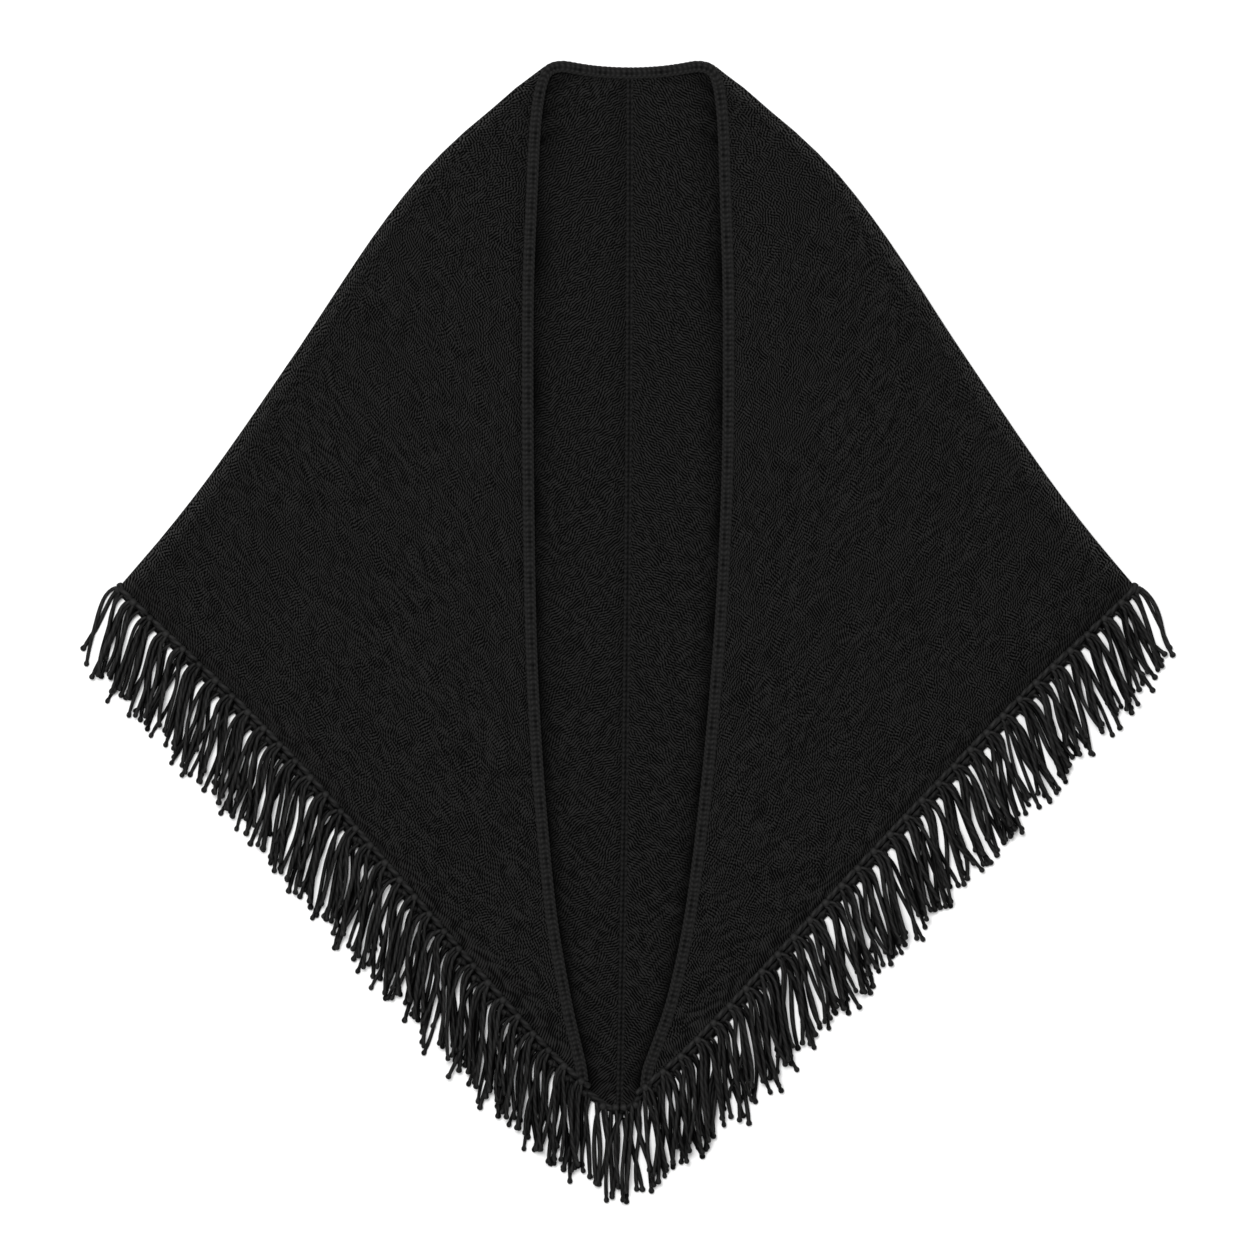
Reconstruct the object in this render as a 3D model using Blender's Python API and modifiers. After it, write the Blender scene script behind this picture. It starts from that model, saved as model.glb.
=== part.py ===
"""A black knitted triangular wrap with a knotted fringe, lying flat with its two fronts folded over its back.

The cloth is one right-angled triangle, knitted from a centre-back spine. Each half of it starts at the
spine, runs out to the shoulder fold, turns over there and comes back as a front, so that both layers
meet the ground and each other. A tubular band follows the long edge: up one front, round the back
neck and down the other. Both short edges carry a hem cord with knotted bunches of fringe, once on the
back layer and once on the front layer that lies on it.

Everything is in metres. The wrap lies on z = 0, the neck points to +Y, and the origin is under the
middle of its outline.
"""

import math
import random

import bmesh
import bpy
from mathutils import Vector

MM = 0.001

# The cloth
CLOTH = 3.0 * MM
GAP = 0.3 * MM
FOLD_RADIUS = 2.5 * MM
FOLD_SOFTNESS = 32 * MM
ROWS = 16
BACK_COLUMNS = 10
FOLD_COLUMNS = 5
FRONT_COLUMNS = 10

# Where the wrap lies: depths are measured down from the top of the neck band
NECK_TOP = 495.5 * MM
SPINE_WIDTH = 4.6 * MM
CORNER_DEPTH = 452 * MM
TIP_DEPTH = 905.5 * MM
TIP_DRIFT = 6.5 * MM
FIRST_FOLD_DEPTH = 14 * MM
FIRST_FRONT_DEPTH = 8.5 * MM
NECK_TURN = 1.5 * MM
ROW_CROWDING = 1.3
COLUMN_CROWDING = 1.2

# The band along the long edge
BAND_WIDTH = 10.3 * MM
BAND_HEIGHT = 5.4 * MM
BAND_SIDES = 8
BAND_GAP = 0.6 * MM
NECK_DIP = 6.6 * MM
NECK_SHOULDER_DEPTH = 5.3 * MM
NECK_PARABOLA_REACH = 62 * MM
NECK_END = 58 * MM
NECK_RISE_START = 28 * MM
BAND_END_DEPTH = {"left": 866 * MM, "right": 873 * MM}
BAND_CORNER = ((68.2 * MM, 7.2 * MM), (73.8 * MM, 13.2 * MM))
BAND_CORNER_STRAIGHT = 4 * MM

# The fringe
STRAND_CELL = 4.6 * MM
HEM_CORD_WIDTH = 5.0 * MM
HEM_CORD_HEIGHT = 3.6 * MM
HEM_CORD_GAP = 0.6 * MM
KNOT_SWELL = 1.3 * MM
KNOT_RISE = 0.3 * MM
FRONT_HEM_SHIFT = 5.0 * MM
FRONT_HEM_SHIFT_RUN = 150 * MM
STRAND_WIDTH = 5.0 * MM
STRAND_NECK = 4.2 * MM
STRAND_FLARE = 6.4 * MM
STRAND_THICKNESS = 3.2 * MM
FIRST_SECTION = 9 * MM
STRAND_SECTIONS = 4
STRAND_CLEARANCE = 0.8 * MM
NEAREST_TO_MIDDLE = 11.2 * MM
BEND_LENGTH = 15 * MM
BUNCH_SPREAD = 5
PATH_STEP = 3 * MM
CORD_REACH = HEM_CORD_GAP + HEM_CORD_WIDTH + KNOT_SWELL / 2
TIP_CORD_GAP = 0.9 * MM
TIP_SPREAD = 3
TIP_START_SPREAD = 16
START_LEAN = 0.55
START_LEAN_RUN = 90 * MM

# Half width of the folded wrap at each depth, along the shoulder folds
OUTLINE = (
    # depth, half width
    (13.0 * MM, 84.0 * MM),
    (33.5 * MM, 108.0 * MM),
    (61.0 * MM, 141.0 * MM),
    (95.5 * MM, 176.3 * MM),
    (130.0 * MM, 204.3 * MM),
    (164.0 * MM, 228.8 * MM),
    (250.0 * MM, 285.5 * MM),
    (353.0 * MM, 356.3 * MM),
    (405.0 * MM, 396.0 * MM),
    (452.0 * MM, 435.6 * MM),
)

# Distance of the band's inner edge from the spine at each depth, on either front
FRONT_EDGE = (
    # depth, left, right
    (11 * MM, 69.5 * MM, 69.5 * MM),
    (49 * MM, 75.5 * MM, 74.5 * MM),
    (115 * MM, 79.0 * MM, 77.0 * MM),
    (207 * MM, 82.0 * MM, 80.0 * MM),
    (379 * MM, 80.5 * MM, 79.5 * MM),
    (551 * MM, 74.5 * MM, 71.0 * MM),
    (723 * MM, 58.5 * MM, 54.5 * MM),
    (809 * MM, 43.0 * MM, 38.5 * MM),
    (858 * MM, 31.0 * MM, 22.5 * MM),
    (873 * MM, 27.0 * MM, 17.0 * MM),
)

# How far the hem lies inside the straight line from the tip to the corner
HEM_LINE = (
    # distance from the tip, left, right
    (0 * MM, 0 * MM, 0 * MM),
    (40 * MM, -7.5 * MM, -3.5 * MM),
    (80 * MM, -10 * MM, -6 * MM),
    (160 * MM, -8 * MM, -5 * MM),
    (254 * MM, -3.5 * MM, -2.5 * MM),
    (330 * MM, 0 * MM, -0.8 * MM),
    (410 * MM, 2.4 * MM, 0.2 * MM),
    (510 * MM, 1.2 * MM, 0.4 * MM),
    (628 * MM, 0 * MM, 0 * MM),
)

# Length and outward lean of the strands, by their distance from the tip along the hem
FRINGE_DRAPE = (
    # distance, length, left lean, right lean (degrees)
    (0 * MM, 76 * MM, 1.0, 1.0),
    (45 * MM, 82 * MM, 1.5, 3.0),
    (120 * MM, 86 * MM, 4.0, 9.0),
    (220 * MM, 85 * MM, 9.0, 16.0),
    (380 * MM, 82 * MM, 13.5, 21.0),
    (540 * MM, 78 * MM, 16.5, 24.0),
    (630 * MM, 70 * MM, 18.0, 25.0),
)

# The two hems. start: where the first bunch begins, from the tip, on the left and the right side.
# end: how far the last bunch ends before the corner. bottom: the cord's underside. levels: the heights of
# a bunch's strands.
HEMS = {
    "back": {
        "start": (9 * MM, 9 * MM),
        "end": -3 * MM,
        "bunches": 32,
        "bottom": 0.4 * MM,
        "levels": (2.0 * MM, 5.5 * MM),
    },
    "front": {
        "start": (38 * MM, 26 * MM),
        "end": 14 * MM,
        "bunches": 30,
        "bottom": 4.7 * MM,
        "levels": (9.0 * MM, 12.5 * MM),
    },
}
SEED = {"tip": 10, "back_left": 11, "back_right": 12, "front_left": 13, "front_right": 14}

SIDES = {"left": -1, "right": 1}
COLUMN = {"left": 1, "right": 2}


def table_value(table, key, column):
    """Reads a column of a table at any key, through a smooth curve (Catmull-Rom) that passes its rows."""
    rows = sorted(table)
    if key <= rows[0][0]:
        return rows[0][column]
    if key >= rows[-1][0]:
        return rows[-1][column]
    i = max(n for n in range(len(rows) - 1) if rows[n][0] <= key)
    low, high = rows[i], rows[i + 1]
    before, after = rows[max(i - 1, 0)], rows[min(i + 2, len(rows) - 1)]
    span = high[0] - low[0]
    t = (key - low[0]) / span
    slope_low = (high[column] - before[column]) / (high[0] - before[0]) * span
    slope_high = (after[column] - low[column]) / (after[0] - low[0]) * span
    return (
        (2 * t**3 - 3 * t**2 + 1) * low[column]
        + (t**3 - 2 * t**2 + t) * slope_low
        + (3 * t**2 - 2 * t**3) * high[column]
        + (t**3 - t**2) * slope_high
    )


def smooth(t):
    """A soft step from 0 to 1."""
    t = min(max(t, 0.0), 1.0)
    return t * t * (3 - 2 * t)


def mix(a, b, t):
    return a + (b - a) * t


def row_share(row):
    """How far down the cloth a row lies, 0 at the neck and 1 at the hem: rows are closer near the neck."""
    return (row / ROWS) ** ROW_CROWDING


def at_depth(x, depth):
    """A point on the plan, from its distance to the spine and its depth below the neck."""
    return Vector((x, NECK_TOP - depth))


def perpendicular(v):
    return Vector((-v.y, v.x)).normalized()


# The plan of the left half. The right half is its mirror image, apart from its front edge.


def fold_point(v):
    """The outline at row v: v is 0 at the neck and 1 at the hem."""
    depth = mix(FIRST_FOLD_DEPTH, CORNER_DEPTH, v)
    return at_depth(-table_value(OUTLINE, depth, 1), depth)


def fold_inward(v):
    """The direction from the outline into the wrap, square to the fold."""
    step = 0.01
    along = fold_point(min(v + step, 1)) - fold_point(max(v - step, 0))
    return perpendicular(along)


CORNER = fold_point(1)
TIP = at_depth(0, TIP_DEPTH)
LEG = (CORNER - TIP).length
LEG_ALONG = (CORNER - TIP).normalized()
LEG_INWARD = Vector((LEG_ALONG.y, -LEG_ALONG.x))


def hem_point(distance, layer, side):
    """The edge of the cloth at a distance from the tip along the hem, on the back or the front layer."""
    inward = table_value(HEM_LINE, distance, COLUMN[side])
    if layer == "front":
        inward += FRONT_HEM_SHIFT * smooth((LEG - distance) / FRONT_HEM_SHIFT_RUN)
    return TIP + LEG_ALONG * distance + LEG_INWARD * inward


def front_edge(depth, side):
    """The distance from the spine to the band's inner edge."""
    return table_value(FRONT_EDGE, depth, COLUMN[side])


def cut_edge(depth, side):
    """The cut edge of a front at one depth, just outside its band."""
    return at_depth(-(front_edge(depth, side) + BAND_WIDTH + BAND_GAP), depth)


def front_corner(side):
    """The distance from the tip along the hem to the lower corner of a front, beside its band."""
    distance = 0
    for _ in range(20):
        place = hem_point(distance, "front", side)
        short = place.x - cut_edge(NECK_TOP - place.y, side).x
        distance -= short / LEG_ALONG.x
    return distance


def front_point(v, side):
    """The cut edge of a front at row v. It follows the band's turn into the neck at the top."""
    last = NECK_TOP - hem_point(front_corner(side), "front", side).y
    turn = NECK_TURN * (1 - smooth(v / row_share(1)))
    return cut_edge(mix(FIRST_FRONT_DEPTH, last, v), side) + Vector((turn, 0))


def neck_line(x):
    """The depth of the neck band's middle line at a distance x from the spine."""
    return NECK_SHOULDER_DEPTH + NECK_DIP * (1 - (x / NECK_PARABOLA_REACH) ** 2)


def neck_edge(x):
    """The depth of the back's cut edge under the neck band."""
    end_depth = neck_line(NECK_END) + BAND_WIDTH / 2 + GAP
    if x <= NECK_END:
        return neck_line(x) + BAND_WIDTH / 2 + GAP
    reach = -fold_point(0).x
    return mix(end_depth, FIRST_FOLD_DEPTH, min((x - NECK_END) / (reach - NECK_END), 1))


def fold_axis(v):
    """The line round which the cloth turns over."""
    return fold_point(v) + fold_inward(v) * (CLOTH / 2 + FOLD_RADIUS)


def spine_point(v, side):
    x = SPINE_WIDTH / 2 + GAP
    top = at_depth(-x, neck_edge(x))
    bottom = hem_point(x * LEG / -CORNER.x, "back", side)
    return top.lerp(bottom, v)


def layer_point(v, t, layer, side):
    """A point of one layer. t runs from the spine to the fold, or on a front from the fold to its edge."""

    def straight(row):
        start, end = spine_point(row, side), fold_axis(row)
        if layer == "front":
            start, end = fold_axis(row), front_point(row, side)
        return start.lerp(end, t)

    point = straight(v)
    hem_start, hem_end = (TIP - spine_point(1, side)).length, LEG - CLOTH / 2 - FOLD_RADIUS
    if layer == "front":
        hem_start, hem_end = hem_end, front_corner(side)
    on_hem = hem_point(mix(hem_start, hem_end, t), layer, side)
    point = point + (on_hem - straight(1)) * v**6
    if layer == "back":
        row = straight(0)
        point = point + Vector((0, NECK_TOP - neck_edge(-row.x) - row.y)) * (1 - v) ** 6
    return point


def front_height(v, distance):
    """The height of the middle of a front's cloth: it rises to the fold, and over the hem cord below it."""
    lying = CLOTH + GAP + CLOTH / 2
    at_fold = CLOTH / 2 + 2 * FOLD_RADIUS
    over_hem = HEMS["front"]["bottom"] + CLOTH / 2
    lying = mix(lying, over_hem, smooth((v - 0.93) / 0.07))
    return mix(at_fold, lying, smooth(distance / FOLD_SOFTNESS))


def half_section(v, side):
    """The points of row v, from the spine out to the fold, round it and back to the front edge."""
    points = []
    for n in range(BACK_COLUMNS + 1):
        plan = layer_point(v, (n / BACK_COLUMNS) ** COLUMN_CROWDING, "back", side)
        points.append(Vector((plan.x, plan.y, CLOTH / 2)))
    axis, inward = points[-1].xy, fold_inward(v)
    for n in range(1, FOLD_COLUMNS):
        angle = math.pi * (n / FOLD_COLUMNS - 0.5)
        plan = axis - inward * FOLD_RADIUS * math.cos(angle)
        height = CLOTH / 2 + FOLD_RADIUS + FOLD_RADIUS * math.sin(angle)
        points.append(Vector((plan.x, plan.y, height)))
    top = layer_point(v, 0, "front", side)
    for n in range(FRONT_COLUMNS + 1):
        plan = layer_point(v, 1 - (1 - n / FRONT_COLUMNS) ** COLUMN_CROWDING, "front", side)
        points.append(Vector((plan.x, plan.y, front_height(v, (plan - top).length))))
    return points


def drift(y):
    """The spine wanders a little to the left on its way down to the tip, and takes all the cloth with it."""
    return -TIP_DRIFT * ((NECK_TOP - y) / TIP_DEPTH) ** 2


def placed(point, side):
    """Puts a point of the left half's plan where it lies on the given side."""
    return Vector((-SIDES[side] * point.x + drift(point.y), *point[1:]))


# Materials and objects


def material(name, colour, roughness):
    made = bpy.data.materials.new(name)
    made.use_nodes = True
    shader = made.node_tree.nodes["Principled BSDF"]
    shader.inputs["Base Color"].default_value = (*colour, 1)
    shader.inputs["Roughness"].default_value = roughness
    shader.inputs["Metallic"].default_value = 0
    return made


def new_object(name, data, wool, home):
    made = bpy.data.objects.new(name, data)
    data.materials.append(wool)
    home.objects.link(made)
    return made


def object_from(bm, name, wool, home):
    bmesh.ops.recalc_face_normals(bm, faces=bm.faces)
    mesh = bpy.data.meshes.new(name)
    bm.to_mesh(mesh)
    bm.free()
    return new_object(name, mesh, wool, home)


def half_panel(side, wool, home):
    """One half of the cloth, its back layer, its fold and its front in one piece."""
    columns = BACK_COLUMNS + FOLD_COLUMNS + FRONT_COLUMNS
    bm = bmesh.new()
    bmesh.ops.create_grid(bm, x_segments=columns, y_segments=ROWS, size=1)
    for vert in bm.verts:
        column = round((vert.co.x + 1) / 2 * columns)
        v = row_share(round((vert.co.y + 1) / 2 * ROWS))
        vert.co = placed(half_section(v, side)[column], side)
    panel = object_from(bm, f"panel_{side}", wool, home)
    wall = panel.modifiers.new("wall", "SOLIDIFY")
    wall.thickness = CLOTH
    wall.offset = 0
    wall.use_even_offset = True
    panel.data.shade_smooth()
    return panel


def spine_rib(wool, home):
    """The rib of stitches up the centre back, cut to the neck and to the tip."""
    half = SPINE_WIDTH / 2
    top = at_depth(-half, neck_edge(half))
    bottom = hem_point(half * LEG / -CORNER.x, "back", "left")
    edge = [top.lerp(bottom, row_share(row)) for row in range(ROWS + 1)]
    left = [placed(Vector((-half, point.y)), "left") for point in edge]
    right = [placed(Vector((-half, point.y)), "right") for point in edge]
    corners = left + [placed(TIP, "left")] + right[::-1]
    outline = bpy.data.curves.new("spine", "CURVE")
    outline.dimensions = "2D"
    outline.fill_mode = "BOTH"
    outline.extrude = CLOTH / 2
    spline = outline.splines.new("POLY")
    spline.points.add(len(corners) - 1)
    for point, corner in zip(spline.points, corners):
        point.co = (*corner, 0, 1)
    spline.use_cyclic_u = True
    made = new_object("spine", outline, wool, home)
    made.location.z = CLOTH / 2
    return made


# The band


def band_height(x):
    """The height of the band's middle: low along the back neck, and on top of the back at the fronts."""
    low = BAND_HEIGHT / 2 + GAP
    high = CLOTH + GAP + BAND_HEIGHT / 2
    return mix(low, high, smooth((abs(x) - NECK_RISE_START) / (NECK_END - NECK_RISE_START)))


def neck_route():
    steps = 16
    route = []
    for n in range(steps + 1):
        x = mix(-NECK_END, NECK_END, n / steps)
        plan = at_depth(x, neck_line(abs(x)))
        route.append(Vector((plan.x, plan.y, band_height(x))))
    return route


def front_route(side):
    """From the shoulder down to the hem, on the left side of the plan."""
    height = band_height(NECK_END)
    start = Vector((-NECK_END, NECK_TOP - neck_line(NECK_END), height))
    along = start - neck_route()[1]
    along = Vector((along.x, along.y, 0)).normalized()
    route = [start + along * GAP, start + along * BAND_CORNER_STRAIGHT]
    for x, depth in BAND_CORNER:
        plan = at_depth(-x, depth)
        route.append(Vector((plan.x, plan.y, height)))
    depths = [NECK_TOP - front_point(row_share(row), side).y for row in range(1, ROWS)]
    for depth in depths + [BAND_END_DEPTH[side]]:
        plan = at_depth(-(front_edge(depth, side) + BAND_WIDTH / 2), depth)
        route.append(Vector((plan.x, plan.y, height)))
    return route


def band_profile(helpers):
    """The band's oval section, as a guide curve."""
    oval = bpy.data.curves.new("band_profile", "CURVE")
    spline = oval.splines.new("POLY")
    spline.points.add(BAND_SIDES - 1)
    for n, point in enumerate(spline.points):
        angle = -2 * math.pi * (n + 0.5) / BAND_SIDES
        reach = 1 / math.cos(math.pi / BAND_SIDES)
        x, y = math.cos(angle) * BAND_WIDTH / 2, math.sin(angle) * BAND_HEIGHT / 2
        point.co = (x * reach, y * reach, 0, 1)
    spline.use_cyclic_u = True
    guide = bpy.data.objects.new("band_profile", oval)
    guide.hide_render = True
    helpers.objects.link(guide)
    return guide


def band(name, route, profile, wool, home):
    tube = bpy.data.curves.new(name, "CURVE")
    tube.dimensions = "3D"
    tube.twist_mode = "Z_UP"
    tube.bevel_mode = "OBJECT"
    tube.bevel_object = profile
    tube.use_fill_caps = True
    spline = tube.splines.new("POLY")
    spline.points.add(len(route) - 1)
    for point, place in zip(spline.points, route):
        point.co = (*place, 1)
    return new_object(name, tube, wool, home)


# The fringe


class Strand:
    """One strand of the fringe: its line on the plan, worked out from its root, its length and its lean."""

    def __init__(self, root, start_angle, distance, side, dice):
        length, lean = strand_drape(distance, side)
        self.length = length * dice.uniform(0.92, 1.06)
        self.root = root
        self.start = start_angle
        self.end = math.radians(lean + dice.uniform(-5, 5))
        self.sway = math.radians(dice.uniform(-7, 7))
        self.wave = dice.uniform(55, 95) * MM
        self.phase = dice.uniform(0, 2 * math.pi)

    def angle(self, along):
        settle = math.exp(-along / BEND_LENGTH)
        sway = self.sway * math.sin(2 * math.pi * along / self.wave + self.phase)
        return mix(self.end + sway, self.start, settle)

    def points(self, step=PATH_STEP):
        """Places every step along the strand, on the left side of the plan."""
        place, line = Vector(self.root), [Vector(self.root)]
        count = round(self.length / step)
        for n in range(count):
            angle = self.angle((n + 0.5) * self.length / count)
            place = place + Vector((-math.sin(angle), -math.cos(angle))) * self.length / count
            line.append(place)
        return line


def strand_drape(distance, side):
    return table_value(FRINGE_DRAPE, distance, 1), table_value(FRINGE_DRAPE, distance, 1 + COLUMN[side])


def bunch_start(hem, side, bunch):
    """Where a bunch begins, from the tip along the hem."""
    facts = HEMS[hem]
    first = facts["start"][COLUMN[side] - 1]
    last = LEG - facts["end"] - 2 * STRAND_CELL
    return mix(first, last, bunch / (facts["bunches"] - 1))


def strands_touch(one, other):
    """True if two strands of one height come too near each other beyond their roots."""
    least = STRAND_FLARE + STRAND_CLEARANCE
    mine, theirs = one.points()[3:], other.points()[3:]
    return any((a - b).length < least for a in mine for b in theirs)


def fringe_strands(hem, side):
    """The two strands of each bunch, drawn again until they clear their neighbours of the same height."""
    facts = HEMS[hem]
    dice = random.Random(SEED[f"{hem}_{side}"])
    outward_angle = math.acos(LEG_INWARD.y)
    strands = []
    for bunch in range(facts["bunches"]):
        pair = []
        for second in (0, 1):
            distance = bunch_start(hem, side, bunch) + second * STRAND_CELL
            middle = distance + STRAND_CELL / 2
            edge = hem_point(middle, hem, side) - LEG_INWARD * CORD_REACH
            spread = math.radians(BUNCH_SPREAD if second else -BUNCH_SPREAD)
            while True:
                start_lean = outward_angle * START_LEAN * smooth(middle / START_LEAN_RUN)
                strand = Strand(edge, start_lean + spread, middle, side, dice)
                line = strand.points()
                free = not strands or not strands_touch(strand, strands[-1][second])
                if free and max(p.x for p in line) < -NEAREST_TO_MIDDLE:
                    break
            pair.append(strand)
        strands.append(pair)
    return strands


def cord_ring(hem, side, distance, swell):
    """The hem cord's section at a distance from the tip: inner bottom, inner top, outer top, outer bottom."""
    bottom = HEMS[hem]["bottom"]
    top = bottom + HEM_CORD_HEIGHT + (KNOT_RISE if swell else 0)
    inner = hem_point(distance, hem, side) - LEG_INWARD * HEM_CORD_GAP
    outer = inner - LEG_INWARD * (HEM_CORD_WIDTH + swell)
    return ring_between(inner, outer, bottom, top)


def ring_between(inner, outer, bottom, top):
    places = (inner, bottom), (inner, top), (outer, top), (outer, bottom)
    return [Vector((*plan, height)) for plan, height in places]


def extrude_to(bm, face, corners):
    """Extrudes a face and puts its corners at the given places, in the order of the face's own corners."""
    before = [vert.co.copy() for vert in face.verts]
    moved = bmesh.ops.extrude_discrete_faces(bm, faces=[face])["faces"][0]
    for vert in moved.verts:
        nearest = min(range(len(before)), key=lambda n: (before[n] - vert.co).length)
        vert.co = corners[nearest]
    return moved


def extrude_strand(bm, face, sides, strand, level, mirror):
    """Draws a strand out of the cord's outer face. sides: which corners are on its first side, and on top."""
    line = strand.points()
    count = len(line) - 1
    cuts = [FIRST_SECTION / strand.length]
    cuts += [mix(cuts[0], 1, n / (STRAND_SECTIONS - 1)) for n in range(1, STRAND_SECTIONS)]
    for number, cut in enumerate(cuts):
        place = cut * count
        n = min(int(place), count - 1)
        centre = line[n].lerp(line[n + 1], place - n)
        across = perpendicular(line[n + 1] - line[n])
        if across.dot(LEG_ALONG) < 0:
            across = -across
        width = STRAND_NECK if number == 0 else STRAND_WIDTH
        width = STRAND_FLARE if number == STRAND_SECTIONS - 1 else width
        corners = []
        for vert in face.verts:
            first, top = sides[vert.index]
            plan = centre + across * width / 2 * (-1 if first else 1)
            height = level + STRAND_THICKNESS / 2 * (1 if top else -1)
            corners.append(placed(Vector((plan.x, plan.y, height)), mirror))
        kept = [sides[vert.index] for vert in face.verts]
        face = extrude_to(bm, face, corners)
        bm.verts.index_update()
        for vert in face.verts:
            nearest = min(range(len(corners)), key=lambda i: (corners[i] - vert.co).length)
            sides[vert.index] = kept[nearest]
    return face


def cord_with_strands(name, rings, strands, side, wool, home):
    """Draws a cord through its rings, then each strand out of the outer face of its own cell of the cord."""
    places = [[placed(point, side) for point in ring] for ring in rings]
    bm = bmesh.new()
    bmesh.ops.create_cube(bm, size=1)
    corners = {(1, -1): 0, (1, 1): 1, (-1, 1): 2, (-1, -1): 3}
    cord = [[None] * 4, [None] * 4]
    for vert in bm.verts:
        corner = corners[(1 if vert.co.y > 0 else -1, 1 if vert.co.z > 0 else -1)]
        cord[0 if vert.co.x < 0 else 1][corner] = vert
    for end in (0, 1):
        for corner in range(4):
            cord[end][corner].co = places[end][corner]
    face = bm.faces.get(cord[1])
    for place in places[2:]:
        face = extrude_to(bm, face, [place[cord[-1].index(vert)] for vert in face.verts])
        cord.append([min(face.verts, key=lambda vert: (point - vert.co).length) for point in place])
    for cell, strand, level in strands:
        low, high = cord[cell], cord[cell + 1]
        bm.verts.index_update()
        sides = {
            low[3].index: (True, False),
            low[2].index: (True, True),
            high[2].index: (False, True),
            high[3].index: (False, False),
        }
        face = bm.faces.get((low[3], low[2], high[2], high[3]))
        extrude_strand(bm, face, sides, strand, level, side)
    return object_from(bm, name, wool, home)


def fringe(hem, side, wool, home):
    """A hem cord with its knots and strands, in one piece."""
    facts = HEMS[hem]
    rings = []
    for bunch in range(facts["bunches"]):
        start = bunch_start(hem, side, bunch)
        rings.append(cord_ring(hem, side, start, 0))
        rings.append(cord_ring(hem, side, start + STRAND_CELL, KNOT_SWELL))
        rings.append(cord_ring(hem, side, start + 2 * STRAND_CELL, 0))
    strands = []
    for bunch, pair in enumerate(fringe_strands(hem, side)):
        for second, strand in enumerate(pair):
            strands.append((3 * bunch + second, strand, facts["levels"][second]))
    return cord_with_strands(f"fringe_{hem}_{side}", rings, strands, side, wool, home)


def tip_fringe(wool, home):
    """The bunch that hangs from the tip, under the spine."""
    facts = HEMS["back"]
    dice = random.Random(SEED["tip"])
    rings, strands = [], []
    for n in (1, 0, -1):
        top = facts["bottom"] + HEM_CORD_HEIGHT + (0 if n else KNOT_RISE)
        inner = TIP + Vector((n * STRAND_CELL, -TIP_CORD_GAP))
        outer = inner - Vector((0, HEM_CORD_WIDTH + (0 if n else KNOT_SWELL)))
        rings.append(ring_between(inner, outer, facts["bottom"], top))
    for cell in (0, 1):
        aside = cell - 0.5
        root = TIP + Vector((-aside * STRAND_CELL, -TIP_CORD_GAP - HEM_CORD_WIDTH - KNOT_SWELL / 2))
        strand = Strand(root, math.radians(aside * TIP_START_SPREAD), 0, "left", dice)
        strand.end = math.radians(aside * TIP_SPREAD)
        strand.sway = 0
        strands.append((cell, strand, facts["levels"][0]))
    return cord_with_strands("fringe_tip", rings, strands, "left", wool, home)


def build():
    for old in list(bpy.data.objects):
        bpy.data.objects.remove(old)
    home = bpy.data.collections.new("fringed_wrap")
    helpers = bpy.data.collections.new("guides")
    bpy.context.scene.collection.children.link(home)
    bpy.context.scene.collection.children.link(helpers)
    knit = material("black_knit", (0.0105, 0.0103, 0.0098), 0.95)
    rib = material("black_rib", (0.0120, 0.0118, 0.0112), 0.9)
    cord = material("black_fringe_cord", (0.0130, 0.0128, 0.0122), 0.7)
    profile = band_profile(helpers)
    spine_rib(rib, home)
    band("band_neck", neck_route(), profile, rib, home)
    for side in SIDES:
        half_panel(side, knit, home)
        route = [placed(p, side) for p in front_route(side)]
        band(f"band_front_{side}", route, profile, rib, home)
        for hem in HEMS:
            fringe(hem, side, cord, home)
    tip_fringe(cord, home)


build()
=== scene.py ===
# %% [markdown]
# # A black knitted wrap with a knotted fringe
#
# The real object is one large triangle of knitted cloth. It is laid flat, and both of its long points are
# folded over its back, so that we look at two fronts, at the strip of the back between them, and at a
# fringe that hangs from both layers of the hem. We load the measured model first, because everything that
# we add has to lie where it lies.

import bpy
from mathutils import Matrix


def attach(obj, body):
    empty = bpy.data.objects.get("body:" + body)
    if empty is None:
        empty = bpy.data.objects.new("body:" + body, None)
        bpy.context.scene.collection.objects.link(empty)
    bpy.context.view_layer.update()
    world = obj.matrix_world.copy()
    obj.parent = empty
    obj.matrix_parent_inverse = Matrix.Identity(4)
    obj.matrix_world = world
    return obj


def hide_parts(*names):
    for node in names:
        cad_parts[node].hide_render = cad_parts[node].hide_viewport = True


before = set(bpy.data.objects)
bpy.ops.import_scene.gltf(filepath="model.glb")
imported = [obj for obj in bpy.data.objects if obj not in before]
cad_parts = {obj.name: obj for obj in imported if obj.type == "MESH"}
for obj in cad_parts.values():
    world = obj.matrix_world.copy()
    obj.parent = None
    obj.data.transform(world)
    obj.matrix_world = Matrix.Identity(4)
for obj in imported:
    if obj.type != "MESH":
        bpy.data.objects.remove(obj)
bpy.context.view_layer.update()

# %% Tools of the trade
import math
import random

import bpy
import numpy as np
from mathutils import Matrix, Vector, noise

MM = 0.001
bpy.ops.object.select_all(action="DESELECT")

# %% [markdown]
# ## The camera
#
# The photograph looks straight down on the wrap, with the neck at the top. A long lens from high above
# keeps both sides of the cloth square to us. We place it first, so that every test picture has the
# photograph's frame. The standard view keeps white paper white and black yarn black.

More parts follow.
